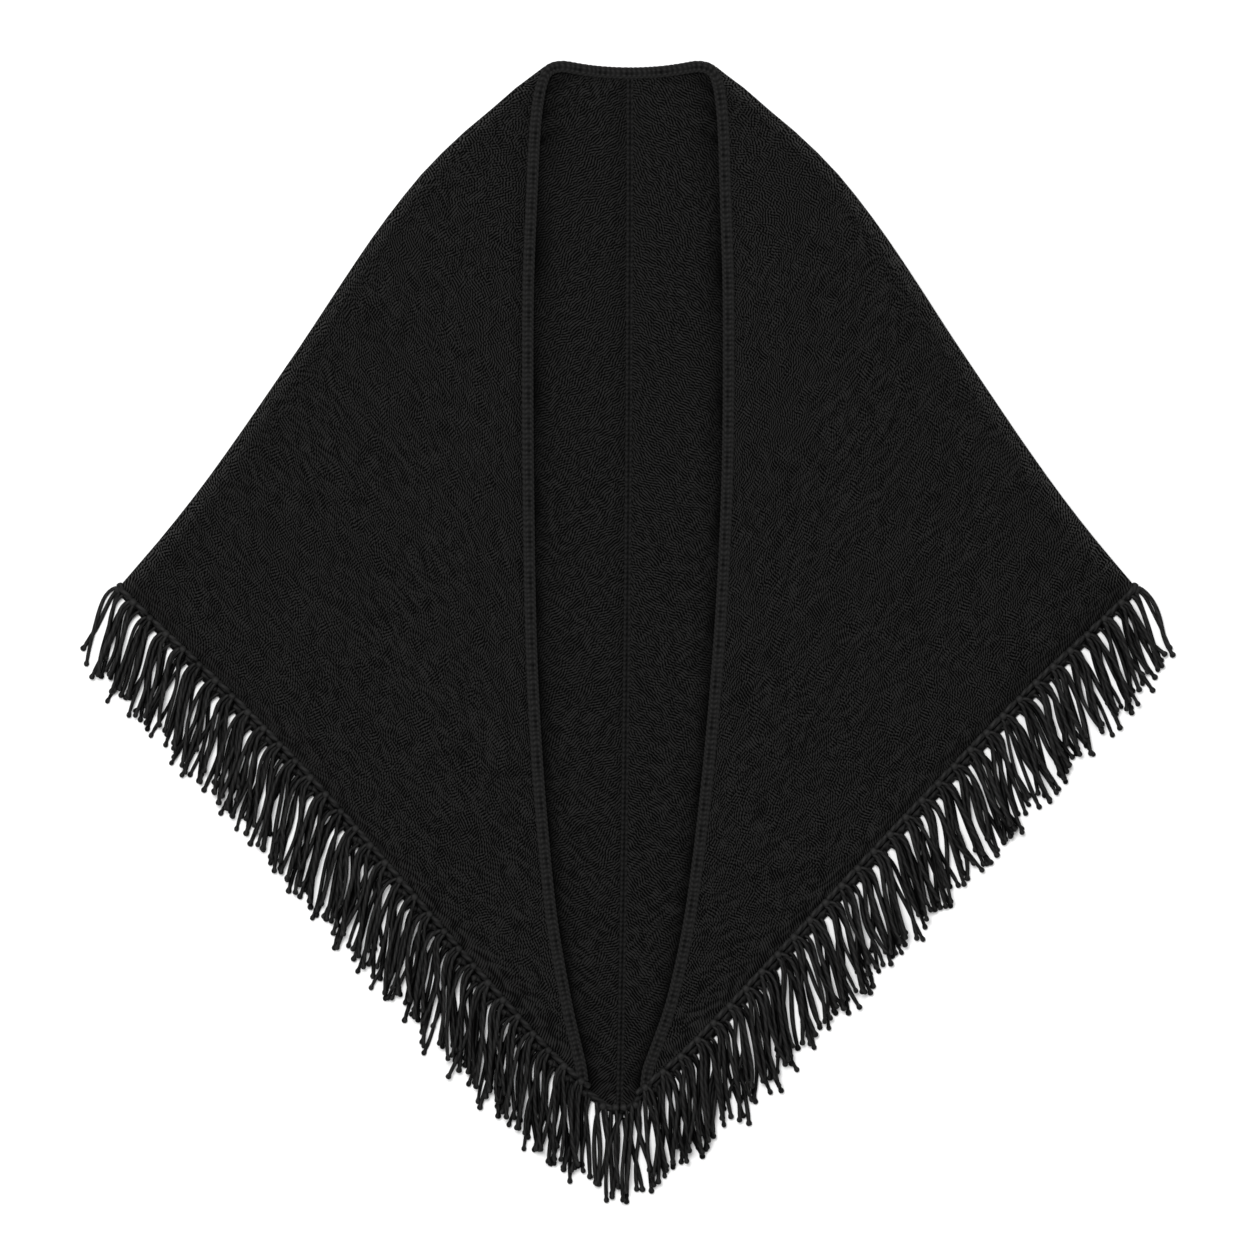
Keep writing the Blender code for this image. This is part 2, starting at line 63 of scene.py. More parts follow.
# %% Camera straight above
FRAME_WIDTH = 1.0797
FRAME_CENTRE = (-2.6 * MM, 7.1 * MM)
CAMERA_HEIGHT = 4.0
SENSOR = 36.0
lens = bpy.data.cameras.new("camera")
lens.sensor_width = SENSOR
lens.lens = SENSOR * CAMERA_HEIGHT / FRAME_WIDTH
camera = bpy.data.objects.new("camera", lens)
camera.location = (*FRAME_CENTRE, CAMERA_HEIGHT)
bpy.context.scene.collection.objects.link(camera)
bpy.context.scene.camera = camera
bpy.context.scene.view_settings.view_transform = "Standard"
print("lens:", round(lens.lens, 1), "mm")

# %% [markdown]
# ## Where the wrap lies
#
# A maker would measure the wrap as it lies: how wide it is at each depth below the neck, how far the front
# edges are from the centre, and how straight the hem runs. These small tables hold those measures for the
# left half, with the right one beside them where it differs. A smooth curve through the rows gives every
# place in between.

# %% Measures of the cloth
NECK_TOP = 495.5 * MM
SPINE_HALF = 2.6 * MM
CORNER_DEPTH = 452 * MM
TIP_DEPTH = 905.5 * MM
TIP_DRIFT = 9 * MM
FIRST_FOLD_DEPTH = 6 * MM
FIRST_FRONT_DEPTH = 8.0 * MM
BAND_WIDTH = 10.3 * MM
BAND_SEAM = 0.3 * MM
SIDES = {"left": -1, "right": 1}
COLUMN = {"left": 1, "right": 2}

# depth below the neck, half width of the folded wrap (mm)
OUTLINE = [
    (6.0, 73.4), (9.5, 81.4), (15.8, 88.8), (33.5, 108.0), (61.0, 141.0), (95.5, 176.3),
    (130.0, 204.3), (164.0, 228.8), (250.0, 285.5), (353.0, 356.3), (405.0, 396.0), (452.0, 435.6),
]
# depth, distance of the band's inner edge from the spine: left, right (mm)
FRONT_EDGE = [
    (11, 69.5, 69.5), (49, 75.5, 74.5), (115, 79.0, 77.0), (207, 82.0, 80.0), (379, 80.5, 79.5),
    (551, 74.5, 71.0), (723, 58.5, 54.5), (809, 43.0, 38.5), (858, 31.0, 22.5), (873, 27.0, 17.0),
]
# distance from the tip, how far the hem lies inside a straight line: left, right (mm)
HEM_LINE = [
    (0, 0, 0), (40, -7.5, -3.5), (80, -10, -6), (160, -8, -5), (254, -3.5, -2.5), (330, 0, -0.8),
    (410, 2.4, 0.2), (510, 1.2, 0.4), (628, 0, 0),
]
# distance from the tip, length of the strands, their lean to the outside in degrees: left, right
FRINGE_DRAPE = [
    (0, 76, 1.0, 1.0), (45, 82, 1.5, 3.0), (120, 86, 4.0, 9.0), (220, 85, 9.0, 16.0),
    (380, 82, 13.5, 21.0), (540, 78, 16.5, 24.0), (630, 70, 18.0, 25.0),
]


def measure(table, key, column=1):
    """Reads a table at any key, or at an array of keys, through a smooth curve. Lengths are in mm."""
    rows = np.array(table, dtype=float)
    x, y = rows[:, 0], rows[:, column]
    slope = np.empty_like(y)
    slope[1:-1] = (y[2:] - y[:-2]) / (x[2:] - x[:-2])
    slope[0] = (y[1] - y[0]) / (x[1] - x[0])
    slope[-1] = (y[-1] - y[-2]) / (x[-1] - x[-2])
    key = np.clip(np.asarray(key, dtype=float), x[0], x[-1])
    i = np.clip(np.searchsorted(x, key, "right") - 1, 0, len(x) - 2)
    span = x[i + 1] - x[i]
    t = (key - x[i]) / span
    return (
        (2 * t**3 - 3 * t**2 + 1) * y[i]
        + (t**3 - 2 * t**2 + t) * slope[i] * span
        + (3 * t**2 - 2 * t**3) * y[i + 1]
        + (t**3 - t**2) * slope[i + 1] * span
    )


def smooth(t):
    """A soft step from 0 to 1."""
    t = np.clip(t, 0, 1)
    return t * t * (3 - 2 * t)


def mix(a, b, t):
    return a + (b - a) * t


print("half width at the corners:", measure(OUTLINE, CORNER_DEPTH / MM), "mm")

# %% [markdown]
# The hem of each half runs from the tip, below the neck, to the corner where the cloth folds over. Only the
# left half is worked out. Its mirror image is the right half, and both drift a little to the left on their
# way to the tip, as the real spine does.

# %% Lines of the left half
CORNER = np.array([-OUTLINE[-1][1] * MM, NECK_TOP - CORNER_DEPTH])
TIP = np.array([0.0, NECK_TOP - TIP_DEPTH])
LEG = float(np.hypot(*(CORNER - TIP)))
ALONG = (CORNER - TIP) / LEG
INWARD = np.array([ALONG[1], -ALONG[0]])
FRONT_HEM_SHIFT = 5 * MM
FRONT_HEM_SHIFT_RUN = 150 * MM


def hem_point(distance, layer, side):
    """The edge of the cloth at distances from the tip along the hem."""
    distance = np.asarray(distance, dtype=float)
    inward = measure(HEM_LINE, distance / MM, COLUMN[side]) * MM
    if layer == "front":
        inward = inward + FRONT_HEM_SHIFT * smooth((LEG - distance) / FRONT_HEM_SHIFT_RUN)
    return TIP + distance[..., None] * ALONG + inward[..., None] * INWARD


def placed(points, side):
    """Puts points of the left half's plan where they lie on the given side."""
    points = np.array(points, dtype=float)
    drift = -TIP_DRIFT * ((NECK_TOP - points[..., 1]) / TIP_DEPTH) ** 2
    points[..., 0] = -SIDES[side] * points[..., 0] + drift
    return points


def fold_point(v):
    """The outline along the fold: v is 0 at the neck and 1 at the hem's corner."""
    depth = mix(FIRST_FOLD_DEPTH, CORNER_DEPTH, np.asarray(v, dtype=float))
    return np.stack([-measure(OUTLINE, depth / MM) * MM, NECK_TOP - depth], -1)


def fold_inward(v):
    step = 0.01
    along = fold_point(np.clip(v + step, 0, 1)) - fold_point(np.clip(v - step, 0, 1))
    along = along / np.linalg.norm(along, axis=-1, keepdims=True)
    return np.stack([-along[..., 1], along[..., 0]], -1)


print("hem of one half:", round(LEG, 3), "m; fold starts at", np.round(fold_point(0), 3))

# %% [markdown]
# ## Edges that a front and the back share with the trimmings
#
# The back ends at the spine and under the neck band. A front ends beside the band that runs down it. We
# write each of these as one line from the hem's end to the neck, because the knitted columns of the cloth
# end on them.

# %% Where the columns of the cloth end
NECK_SHOULDER_DEPTH = 5.3 * MM
NECK_DIP = 6.6 * MM
NECK_REACH = 62 * MM
NECK_END = 58 * MM
SPINE_SHARE = 0.93
SPINE_ON_HEM = SPINE_HALF * LEG / -CORNER[0]
UNDER_NECK = 2.6 * MM


def neck_line(x):
    """Depth of the neck band's middle line."""
    return NECK_SHOULDER_DEPTH + NECK_DIP * (1 - (x / NECK_REACH) ** 2)


def back_end(share, side):
    """From the tip up the spine to the neck, then out along the neck to the fold."""
    share = np.asarray(share, dtype=float)
    bottom = hem_point(SPINE_ON_HEM, "back", side)
    under = BAND_WIDTH / 2 - UNDER_NECK
    top_depth = neck_line(SPINE_HALF) + under
    top = np.array([-SPINE_HALF, NECK_TOP - top_depth])
    up = np.clip(share / SPINE_SHARE, 0, 1)[..., None]
    on_spine = bottom * (1 - up) + top * up
    out = np.clip((share - SPINE_SHARE) / (1 - SPINE_SHARE), 0, 1)
    axis = fold_axis(0.0)
    x = mix(-SPINE_HALF, axis[0], out)
    depth = np.where(
        -x <= NECK_END,
        neck_line(-x) + under,
        mix(neck_line(NECK_END) + under, NECK_TOP - axis[1], (-x - NECK_END) / (-axis[0] - NECK_END)),
    )
    on_neck = np.stack([x, NECK_TOP - depth], -1)
    return np.where((share > SPINE_SHARE)[..., None], on_neck, on_spine)


FOLD_RADIUS = 2.5 * MM
WALL = 2.6 * MM
FOLD_INSET = 1.5 * MM + FOLD_RADIUS


def fold_axis(v):
    """The line that the cloth turns round."""
    return fold_point(v) + fold_inward(v) * FOLD_INSET


def cut_edge(depth, side):
    """A front's edge beside its band."""
    inner = measure(FRONT_EDGE, np.asarray(depth) / MM, COLUMN[side]) * MM
    return np.stack([-(inner + BAND_WIDTH + BAND_SEAM), NECK_TOP - depth], -1)


CORNER_ROUNDS = 20


def front_corner(side):
    """Distance from the tip along the hem to a front's lower corner."""
    distance = 0.0
    for _ in range(CORNER_ROUNDS):
        place = hem_point(distance, "front", side)
        distance -= (place[0] - cut_edge(NECK_TOP - place[1], side)[0]) / ALONG[0]
    return float(distance)


UNDER_BAND = 0.8 * MM
UNDER_BAND_TOP = 6.5 * MM
ACROSS_SHARE = 0.012
TUCK_SHARE = 0.04


def front_end(share, side):
    """From the fold's top, across to the front's edge, then down it to its lower corner."""
    share = np.asarray(share, dtype=float)
    last = NECK_TOP - hem_point(front_corner(side), "front", side)[1]
    down = np.clip((share - ACROSS_SHARE) / (1 - ACROSS_SHARE), 0, 1)
    edge = cut_edge(mix(FIRST_FRONT_DEPTH, last, down), side)
    edge[..., 0] += UNDER_BAND + (UNDER_BAND_TOP - UNDER_BAND) * (1 - smooth(down / TUCK_SHARE))
    start = fold_axis(0.0)
    out = np.clip(share / ACROSS_SHARE, 0, 1)[..., None]
    first = cut_edge(FIRST_FRONT_DEPTH, side) + np.array([UNDER_BAND_TOP, 0])
    return np.where((share < ACROSS_SHARE)[..., None], start * (1 - out) + first * out, edge)


for side in SIDES:
    print(side, "front's lower corner is", round(front_corner(side), 3), "m from the tip")

# %% [markdown]
# ## The knitted cloth
#
# Knitting grows in columns of loops, called wales. On this wrap they run square to the hem and side by side
# with the fold, so that they meet at the spine like an arrow head. They show as soft ridges 2.5 mm apart.
#
# The ridges could be a bump in the material alone, but then the edge of the cloth would stay smooth in a
# close view. So each half is one mesh whose columns of points follow the wales, four to a ridge. It runs
# from the spine to the fold, round it, and back to the front's edge, which is how the real piece lies. A
# Solidify modifier gives it the thickness of the cloth. The flat place of each point goes into a UV map, in
# metres, so that the lines of the material turn with the cloth.

# %% One half as a grid of wales
WALE = 2.5 * MM
SAMPLES_PER_WALE = 4
STEPS = 24
FOLD_AT = LEG - FOLD_INSET
RIDGE = 0.16 * MM
HEM_RIDGE = 0.2 * MM
HEM_RIDGE_RUN = 40 * MM
RIDGE_ROUND = 0.8
FLAT_APART = 2.0
BACK_MIDDLE = 1.55 * MM
FRONT_MIDDLE = 4.85 * MM
FRONT_OVER_HEM = 6.3 * MM
FOLD_SOFTNESS = 32 * MM
TRIM = 0.004
LOOSE = 1.02
# over its last stretch the front climbs onto the back's cord
HEM_SHARE = 0.07
# the front lies on the back in low waves, which end before its fold, hem and edge
FRONT_LIFT = 1.1 * MM
LIFT_SIZE = 110 * MM
CALM_WIDTH = 50 * MM
CALM_HEM = 0.08
CALM_EDGE = 0.05
# how many wales the ridges wander to either side
WALE_SHIFT = 0.45
SHIFT_SIZE = 70 * MM
SHADE_FALL = 5.5 * MM


def wandering(points, size, seed):
    """Soft random values from -1 to 1 over a plan, the same in each run."""
    flat = points.reshape(-1, 2) / size
    values = [noise.noise(Vector((x, y, seed * 7.3))) for x, y in flat]
    return np.array(values).reshape(points.shape[:-1])


def band_shade(plan, side):
    """Painted shadow beside the bands: 1 beneath a front and its band, less and less out on the strip
    between them.
    """
    inner = measure(FRONT_EDGE, (NECK_TOP - plan[..., 1]) / MM, COLUMN[side]) * MM
    gap = inner + plan[..., 0]
    return np.where(gap > 0, np.exp(-gap / SHADE_FALL), 1.0)


def cloth_layer(kind, share, side):
    """Columns of one layer. share runs from the spine to the fold, or from the fold to a front's edge."""
    if kind == "back":
        hem = hem_point(mix(SPINE_ON_HEM, FOLD_AT, share), kind, side)
        end, pull = back_end(share, side), share**2
        end_at_fold = back_end(1.0, side)
    else:
        hem = hem_point(mix(FOLD_AT, front_corner(side), share), kind, side)
        end, pull = front_end(share, side), (1 - share) ** 2
        end_at_fold = front_end(0.0, side)
    up = np.linspace(0, 1, STEPS + 1)[:, None]
    straight = hem[:, None] * (1 - up) + end[:, None] * up
    bend = fold_axis(1 - up[:, 0]) - (hem_point(FOLD_AT, kind, side) * (1 - up) + end_at_fold * up)
    return straight + pull[:, None, None] * bend[None]


def half_grid(side):
    """Middle surface of one half on the left plan, with the wale and the flat place of each point."""
    up = np.linspace(0, 1, STEPS + 1)
    spacing = WALE / SAMPLES_PER_WALE
    axis = fold_axis(1 - up)

    back_count = round(FOLD_AT / spacing / LOOSE)
    back = cloth_layer("back", np.linspace(TRIM, 1, back_count), side)
    parts, levels = [back], [np.full(back.shape[:2], BACK_MIDDLE)]

    turn = round(math.pi * FOLD_RADIUS / spacing)
    inward = fold_inward(1 - up)
    for n in range(1, turn):
        angle = math.pi * (n / turn - 0.5)
        place = axis - inward * FOLD_RADIUS * math.cos(angle)
        parts.append(place[None])
        levels.append(np.full((1, STEPS + 1), BACK_MIDDLE + FOLD_RADIUS * (1 + math.sin(angle))))

    front_count = round((FOLD_AT - front_corner(side)) / spacing / LOOSE)
    share = np.linspace(0, 1 - TRIM, front_count)
    front = cloth_layer("front", share, side)
    from_fold = np.linalg.norm(front - axis[None], axis=-1)
    lying = mix(FRONT_MIDDLE, FRONT_OVER_HEM, smooth((HEM_SHARE - up) / HEM_SHARE))[None]
    lift = FRONT_LIFT * (0.5 + 0.5 * wandering(front, LIFT_SIZE, 3 + SIDES[side]))
    lift *= smooth(from_fold / CALM_WIDTH)
    lift *= smooth(up / CALM_HEM)[None] * smooth((1 - share) / CALM_EDGE)[:, None]
    level = mix(BACK_MIDDLE + 2 * FOLD_RADIUS, lying + lift, smooth(from_fold / FOLD_SOFTNESS))
    parts.append(front)
    levels.append(level)

    plan, height = np.concatenate(parts), np.concatenate(levels)
    shift = WALE_SHIFT * wandering(plan, SHIFT_SIZE, 11 + SIDES[side])
    fold_across, fold_up = (axis - TIP) @ ALONG, (axis - TIP) @ INWARD
    arc = math.pi * FOLD_RADIUS
    turned = np.interp((front - TIP) @ INWARD, fold_up, fold_across)
    across = np.concatenate([
        (back - TIP) @ ALONG,
        fold_across + arc * np.arange(1, turn)[:, None] / turn,
        2 * turned + arc - (front - TIP) @ ALONG,
    ])
    if side == "right":
        across = across + FLAT_APART
    to_fold = np.concatenate([
        np.linalg.norm(back - axis[None], axis=-1),
        np.zeros((turn - 1, STEPS + 1)),
        from_fold,
    ])
    is_back = (np.arange(len(plan)) < back_count)[:, None]
    return {
        "plan": plan,
        "height": height,
        "wale": np.arange(len(plan))[:, None] / SAMPLES_PER_WALE + shift,
        "flat": np.stack([across, (plan - TIP) @ INWARD], -1),
        "to_fold": to_fold,
        "shade": is_back * band_shade(plan, side),
        "front": np.broadcast_to(1.0 - is_back, height.shape),
    }


def surface_area(place):
    """Area of a grid of points, in square metres."""
    a = place[1:, 1:] - place[:-1, :-1]
    b = place[1:, :-1] - place[:-1, 1:]
    return float(np.linalg.norm(np.cross(a, b), axis=-1).sum() / 2)


grids = {side: half_grid(side) for side in SIDES}
for side, grid in grids.items():
    print(side, "half:", grid["plan"].shape[0], "columns of", grid["plan"].shape[1], "points")

# %% [markdown]
# The ridges push the middle surface to and fro along its own normal, so both faces of the cloth show them,
# as a knitted fabric does.

# %% Raise the wales and give the cloth its thickness
def show(name, points, faces, uv, values):
    """A new object at the origin. uv has a row for each corner of a face, values are kept on the points."""
    mesh = bpy.data.meshes.new(name)
    mesh.from_pydata(points.reshape(-1, 3).tolist(), [], faces)
    mesh.uv_layers.new(name="flat").data.foreach_set("uv", uv.astype(np.float32).reshape(-1))
    for label, numbers in values.items():
        stored = mesh.attributes.new(label, "FLOAT", "POINT")
        stored.data.foreach_set("value", numbers.reshape(-1).astype(np.float32))
    mesh.update()
    piece = bpy.data.objects.new(name, mesh)
    bpy.context.scene.collection.objects.link(piece)
    return piece


def show_grid(name, place, uv, values):
    """An open sheet of quads through a grid of points."""
    columns, rows = place.shape[:2]
    number = np.arange(columns * rows).reshape(columns, rows)
    quads = np.stack([number[:-1, :-1], number[1:, :-1], number[1:, 1:], number[:-1, 1:]], -1).reshape(-1, 4)
    return show(name, place, quads.tolist(), uv.reshape(-1, 2)[quads.reshape(-1)], values)


def select_only(pieces):
    bpy.ops.object.select_all(action="DESELECT")
    for piece in pieces:
        piece.select_set(True)
    bpy.context.view_layer.objects.active = pieces[0]


def triangles(piece):
    return sum(len(face.vertices) - 2 for face in piece.data.polygons)


def grid_normals(place):
    along = np.gradient(place, axis=0)
    across = np.gradient(place, axis=1)
    normal = np.cross(along, across)
    return normal / np.maximum(np.linalg.norm(normal, axis=-1, keepdims=True), 1e-12)


def finish_surface(piece):
    """Turns all normals of a closed mesh outwards and shades it smooth."""
    select_only([piece])
    bpy.ops.object.mode_set(mode="EDIT")
    bpy.ops.mesh.select_all(action="SELECT")
    bpy.ops.mesh.normals_make_consistent(inside=False)
    bpy.ops.object.mode_set(mode="OBJECT")
    piece.data.shade_smooth()


cloth = {}
for side in SIDES:
    grid = grids[side]
    place = np.concatenate([placed(grid["plan"], side), grid["height"][..., None]], -1)
    surface_area(place)
    ridge = 2 * np.abs(np.sin(math.pi * grid["wale"])) ** RIDGE_ROUND - 1
    tall = mix(HEM_RIDGE, RIDGE, smooth(grid["flat"][..., 1] / HEM_RIDGE_RUN))
    place = place + grid_normals(place) * (ridge * tall)[..., None]
    values = {name: grid[name] for name in ("to_fold", "shade", "front")}
    piece = show_grid(f"cloth_{side}", place, grid["flat"], values)
    wall = piece.modifiers.new("wall", "SOLIDIFY")
    wall.thickness = WALL
    wall.offset = 0
    select_only([piece])
    bpy.ops.object.modifier_apply(modifier=wall.name)
    finish_surface(piece)
    cloth[side] = piece

# %% [markdown]
# ## Knitted tapes: the edge band and the spine
#
# The band is a narrow knitted tube, turned over the long edge of the cloth. The spine is a rib, where the
# maker added stitches on either side. Both show two columns of stitches with a line of small holes between
# them, and both are made in the same way: an oval is swept along a path, and the points on its top are
# raised into the V shapes of plain knitting. The V comes from a wave along the tape that starts later
# towards the outside of each column.

# %% Sweep a knitted tape along a path
STITCH = 4.4 * MM
RINGS_PER_STITCH = 5
RELIEF = 0.5 * MM


def two_columns(turned=0.0, reach=0.62, hem=0.35):
    """Relief of a tape with two columns of V stitches on top and a line of small holes between them."""

    def relief(along, around):
        across = np.cos(around) - turned
        beside = np.clip(np.abs(across) / reach, 0, 1)
        on_top = np.clip(np.sin(around) * 4 + 1, 0, 1)
        uneven = 0.5 * MM * np.sin(along / (6.1 * MM)) + 0.4 * MM * np.sin(along / (2.7 * MM) + 1)
        phase = 2 * math.pi * (along + uneven) / STITCH
        depth = 0.75 + 0.45 * np.sin(along / (4.3 * MM) + 2 * np.sin(along / (29 * MM)))
        column = np.sin(math.pi * beside) ** 0.7
        leg = np.cos(phase + 3.0 * beside)
        hole = np.exp(-((across / 0.19) ** 2)) * (0.5 + 0.5 * np.cos(phase)) ** 1.5
        top = column * (0.35 + 0.5 * leg) - depth * hole - 0.15 * (1 - column)
        edge = hem + 0.3 * np.cos(phase + 2 * around)
        return np.clip(mix(edge, np.where(np.abs(across) > reach, edge, top), on_top), -1, 1)

    return relief


def lengths(points):
    """How far along a path each of its points lies."""
    return np.concatenate([[0], np.cumsum(np.linalg.norm(np.diff(points, axis=0), axis=1))])


def points_at(points, at):
    """Points of a path at the given lengths."""
    length = lengths(points)
    return np.stack([np.interp(at, length, points[:, n]) for n in range(points.shape[1])], -1)


def even_path(points, spacing):
    """The same path with points at even distances."""
    total = lengths(points)[-1]
    return points_at(points, np.linspace(0, total, max(2, round(total / spacing)) + 1))


def soften(points, rounds):
    """Rounds the corners of a path, its ends kept."""
    points = points.copy()
    for _ in range(rounds):
        points[1:-1] = (points[:-2] + 2 * points[1:-1] + points[2:]) / 4
    return points


def frames(path):
    """For each point of a path: the direction to its side on the plan, and the direction up from it."""
    tangent = np.gradient(path, axis=0)
    tangent /= np.linalg.norm(tangent, axis=-1, keepdims=True)
    aside = np.stack([-tangent[:, 1], tangent[:, 0], np.zeros(len(path))], -1)
    aside /= np.linalg.norm(aside, axis=-1, keepdims=True)
    return aside, np.cross(tangent, aside)


def show_tube(name, path, half_width, half_height, sides, relief=None, power=1.0):
    """A closed tube along a path. relief(along, around) is the height of its stitches, from -1 to 1.

    The relief pushes the points out and is kept as "raised", so that the material can paint shade into the
    grooves.
    The UV map holds the place round the tube and along it, in metres.
    """
    aside, up = frames(path)
    length = lengths(path)
    angle = 2 * math.pi * np.arange(sides) / sides
    c, s = np.cos(angle), np.sin(angle)
    c, s = np.sign(c) * np.abs(c) ** power, np.sign(s) * np.abs(s) ** power
    half_width = np.broadcast_to(half_width, len(path))
    half_height = np.broadcast_to(half_height, len(path))
    raised = np.zeros((len(path), sides)) if relief is None else relief(length[:, None], angle[None])
    push = raised * RELIEF
    place = (
        path[:, None]
        + aside[:, None] * ((half_width[:, None] + push) * c)[..., None]
        + up[:, None] * ((half_height[:, None] + push) * s)[..., None]
    )
    count = len(path)
    number = np.arange(count * sides).reshape(count, sides)
    after = np.roll(number, -1, axis=1)
    quads = np.stack([number[:-1], number[1:], after[1:], after[:-1]], -1).reshape(-1, 4)
    faces = quads.tolist() + [number[0].tolist(), number[-1][::-1].tolist()]
    girth = 2 * math.pi * float(np.mean(half_width) + np.mean(half_height)) / 2
    column = np.arange(sides)
    u = np.stack([column, column, column + 1, column + 1], -1) / sides * girth
    u = np.broadcast_to(u, (count - 1, sides, 4))
    v = np.stack([length[:-1], length[1:], length[1:], length[:-1]], -1)
    v = np.broadcast_to(v[:, None], (count - 1, sides, 4))
    caps_u = np.concatenate([column / sides * girth, column[::-1] / sides * girth])
    caps_v = np.concatenate([np.full(sides, length[0]), np.full(sides, length[-1])])
    uv = np.stack([np.append(u.reshape(-1), caps_u), np.append(v.reshape(-1), caps_v)], -1)
    return show(name, place, faces, uv, {"raised": raised})


print("a stitch of the tapes is", STITCH / MM, "mm tall")

# %% [markdown]
# The band is one tube on the real wrap, from one lower corner up to the neck and down to the other. On the
# back it sits at the edge of one layer; on the fronts it lies on top of the back.

# %% The edge band
BAND_HEIGHT = 5.6 * MM
BAND_SIDES = 28
BAND_END_DEPTH = {"left": 879 * MM, "right": 884 * MM}
BAND_TOP_DEPTH = 26 * MM
SHOULDER_TURN = [(-67.6 * MM, NECK_TOP - 7.6 * MM), (-73.6 * MM, NECK_TOP - 13.2 * MM)]
NECK_RISE_START = 28 * MM
NECK_LEVEL = 3.0 * MM
FRONT_LEVEL = 6.1 * MM


def band_height(x):
    return mix(NECK_LEVEL, FRONT_LEVEL, smooth((np.abs(x) - NECK_RISE_START) / (NECK_END - NECK_RISE_START)))


def band_path():
    fronts = []
    for side in SIDES:
        depth = np.linspace(BAND_TOP_DEPTH, BAND_END_DEPTH[side], 60)
        inner = measure(FRONT_EDGE, depth / MM, COLUMN[side]) * MM
        plan = np.stack([-(inner + BAND_WIDTH / 2), NECK_TOP - depth], -1)
        plan = placed(np.concatenate([SHOULDER_TURN, plan]), side)
        fronts.append(np.concatenate([plan, np.full((len(plan), 1), FRONT_LEVEL)], -1))
    x = np.linspace(-NECK_END, NECK_END, 30)
    neck = np.stack([x, NECK_TOP - neck_line(np.abs(x)), band_height(x)], -1)
    whole = np.concatenate([fronts[0][::-1], neck, fronts[1]])
    return even_path(soften(even_path(whole, 2 * MM), 6), STITCH / RINGS_PER_STITCH)


path = band_path()
half_width, half_height = BAND_WIDTH / 2 - 0.3 * MM, BAND_HEIGHT / 2 - 0.2 * MM
edge_band = show_tube("edge_band", path, half_width, half_height, BAND_SIDES, two_columns(-0.12), 0.85)
finish_surface(edge_band)
print("edge band:", round(float(lengths(path)[-1]), 3), "m,", triangles(edge_band), "triangles")

# %% The spine rib
SPINE_SIDES = 20
RIB_HALF_WIDTH = 3.35 * MM
RIB_HALF_HEIGHT = 1.5 * MM
RIB_LEVEL = 1.7 * MM
RIB_UNDER_BAND = 2 * MM
RIB_FROM_TIP = 0.3 * MM
top = NECK_TOP - neck_line(0) - BAND_WIDTH / 2 + RIB_UNDER_BAND
y = np.linspace(top, TIP[1] + RIB_FROM_TIP, 200)
path = placed(np.stack([np.zeros_like(y), y], -1), "left")
path = np.concatenate([path, np.full((len(y), 1), RIB_LEVEL)], -1)
path = even_path(path, STITCH / RINGS_PER_STITCH)
rib = two_columns(0.0, 0.9, -0.1)
spine_rib = show_tube("spine_rib", path, RIB_HALF_WIDTH, RIB_HALF_HEIGHT, SPINE_SIDES, rib, 0.75)
finish_surface(spine_rib)
print("spine:", triangles(spine_rib), "triangles")

# %% [markdown]
# ## The fringe
#
# Along both layers of the hem runs a thin cord, like a chain of links. Every 2 cm a bunch is knotted round
# it: a small ball on the cord, and soft strands that leave the hem at a slant, bend down and end in a tiny
# knot. The strands lie over and under each other.
#
# The first two strands of each bunch follow the tables and random numbers of the measured model, with finer
# clearances. They are drawn on the plan first. Their heights come later.

# %% Strands on the plan
STRAND_CELL = 4.6 * MM
HEM_CORD_GAP = 0.6 * MM
HEM_CORD_WIDTH = 5.0 * MM
KNOT_SWELL = 1.3 * MM
CORD_REACH = HEM_CORD_GAP + HEM_CORD_WIDTH + KNOT_SWELL / 2
TIP_CORD_GAP = 0.9 * MM
TIP_SPREAD = 3
TIP_START_SPREAD = 16
START_LEAN = 0.55
START_LEAN_RUN = 90 * MM
BEND_LENGTH = 15 * MM
BUNCH_SPREAD = 5
PATH_STEP = 3 * MM
LENGTHS = (0.92, 1.06)
LEAN_RANGE = 5
SWAY_RANGE = 7
WAVE_LENGTHS = (55, 95)
CLEARANCE = 7.2 * MM
NEAREST_TO_MIDDLE = 11.2 * MM
ROOT_DEPTH = 2.2 * MM
HEMS = {
    "back": {"start": (9, 9), "end": -3, "bunches": 32, "cord": 2.3 * MM},
    "front": {"start": (38, 26), "end": 14, "bunches": 30, "cord": 6.6 * MM},
}
SEED = {"tip": 10, "back_left": 11, "back_right": 12, "front_left": 13, "front_right": 14}


class Strand:
    """One strand: its line on the plan, from its root, its length and its lean."""

    def __init__(self, root, start_angle, distance, side, dice):
        length = float(measure(FRINGE_DRAPE, distance / MM, 1)) * MM
        lean = float(measure(FRINGE_DRAPE, distance / MM, 1 + COLUMN[side]))
        self.length = length * dice.uniform(*LENGTHS)
        self.root = root + INWARD * ROOT_DEPTH
        self.start = start_angle
        self.end = math.radians(lean + dice.uniform(-LEAN_RANGE, LEAN_RANGE))
        self.sway = math.radians(dice.uniform(-SWAY_RANGE, SWAY_RANGE))
        self.wave = dice.uniform(*WAVE_LENGTHS) * MM
        self.phase = dice.uniform(0, 2 * math.pi)

    def points(self, step=PATH_STEP):
        """Places along the strand, on the left side of the plan."""
        count = round(self.length / step)
        along = (np.arange(count) + 0.5) * self.length / count
        settle = np.exp(-along / BEND_LENGTH)
        sway = self.sway * np.sin(2 * math.pi * along / self.wave + self.phase)
        angle = mix(self.end + sway, self.start, settle)
        move = np.stack([-np.sin(angle), -np.cos(angle)], -1) * self.length / count
        return np.concatenate([[self.root], self.root + np.cumsum(move, 0)])


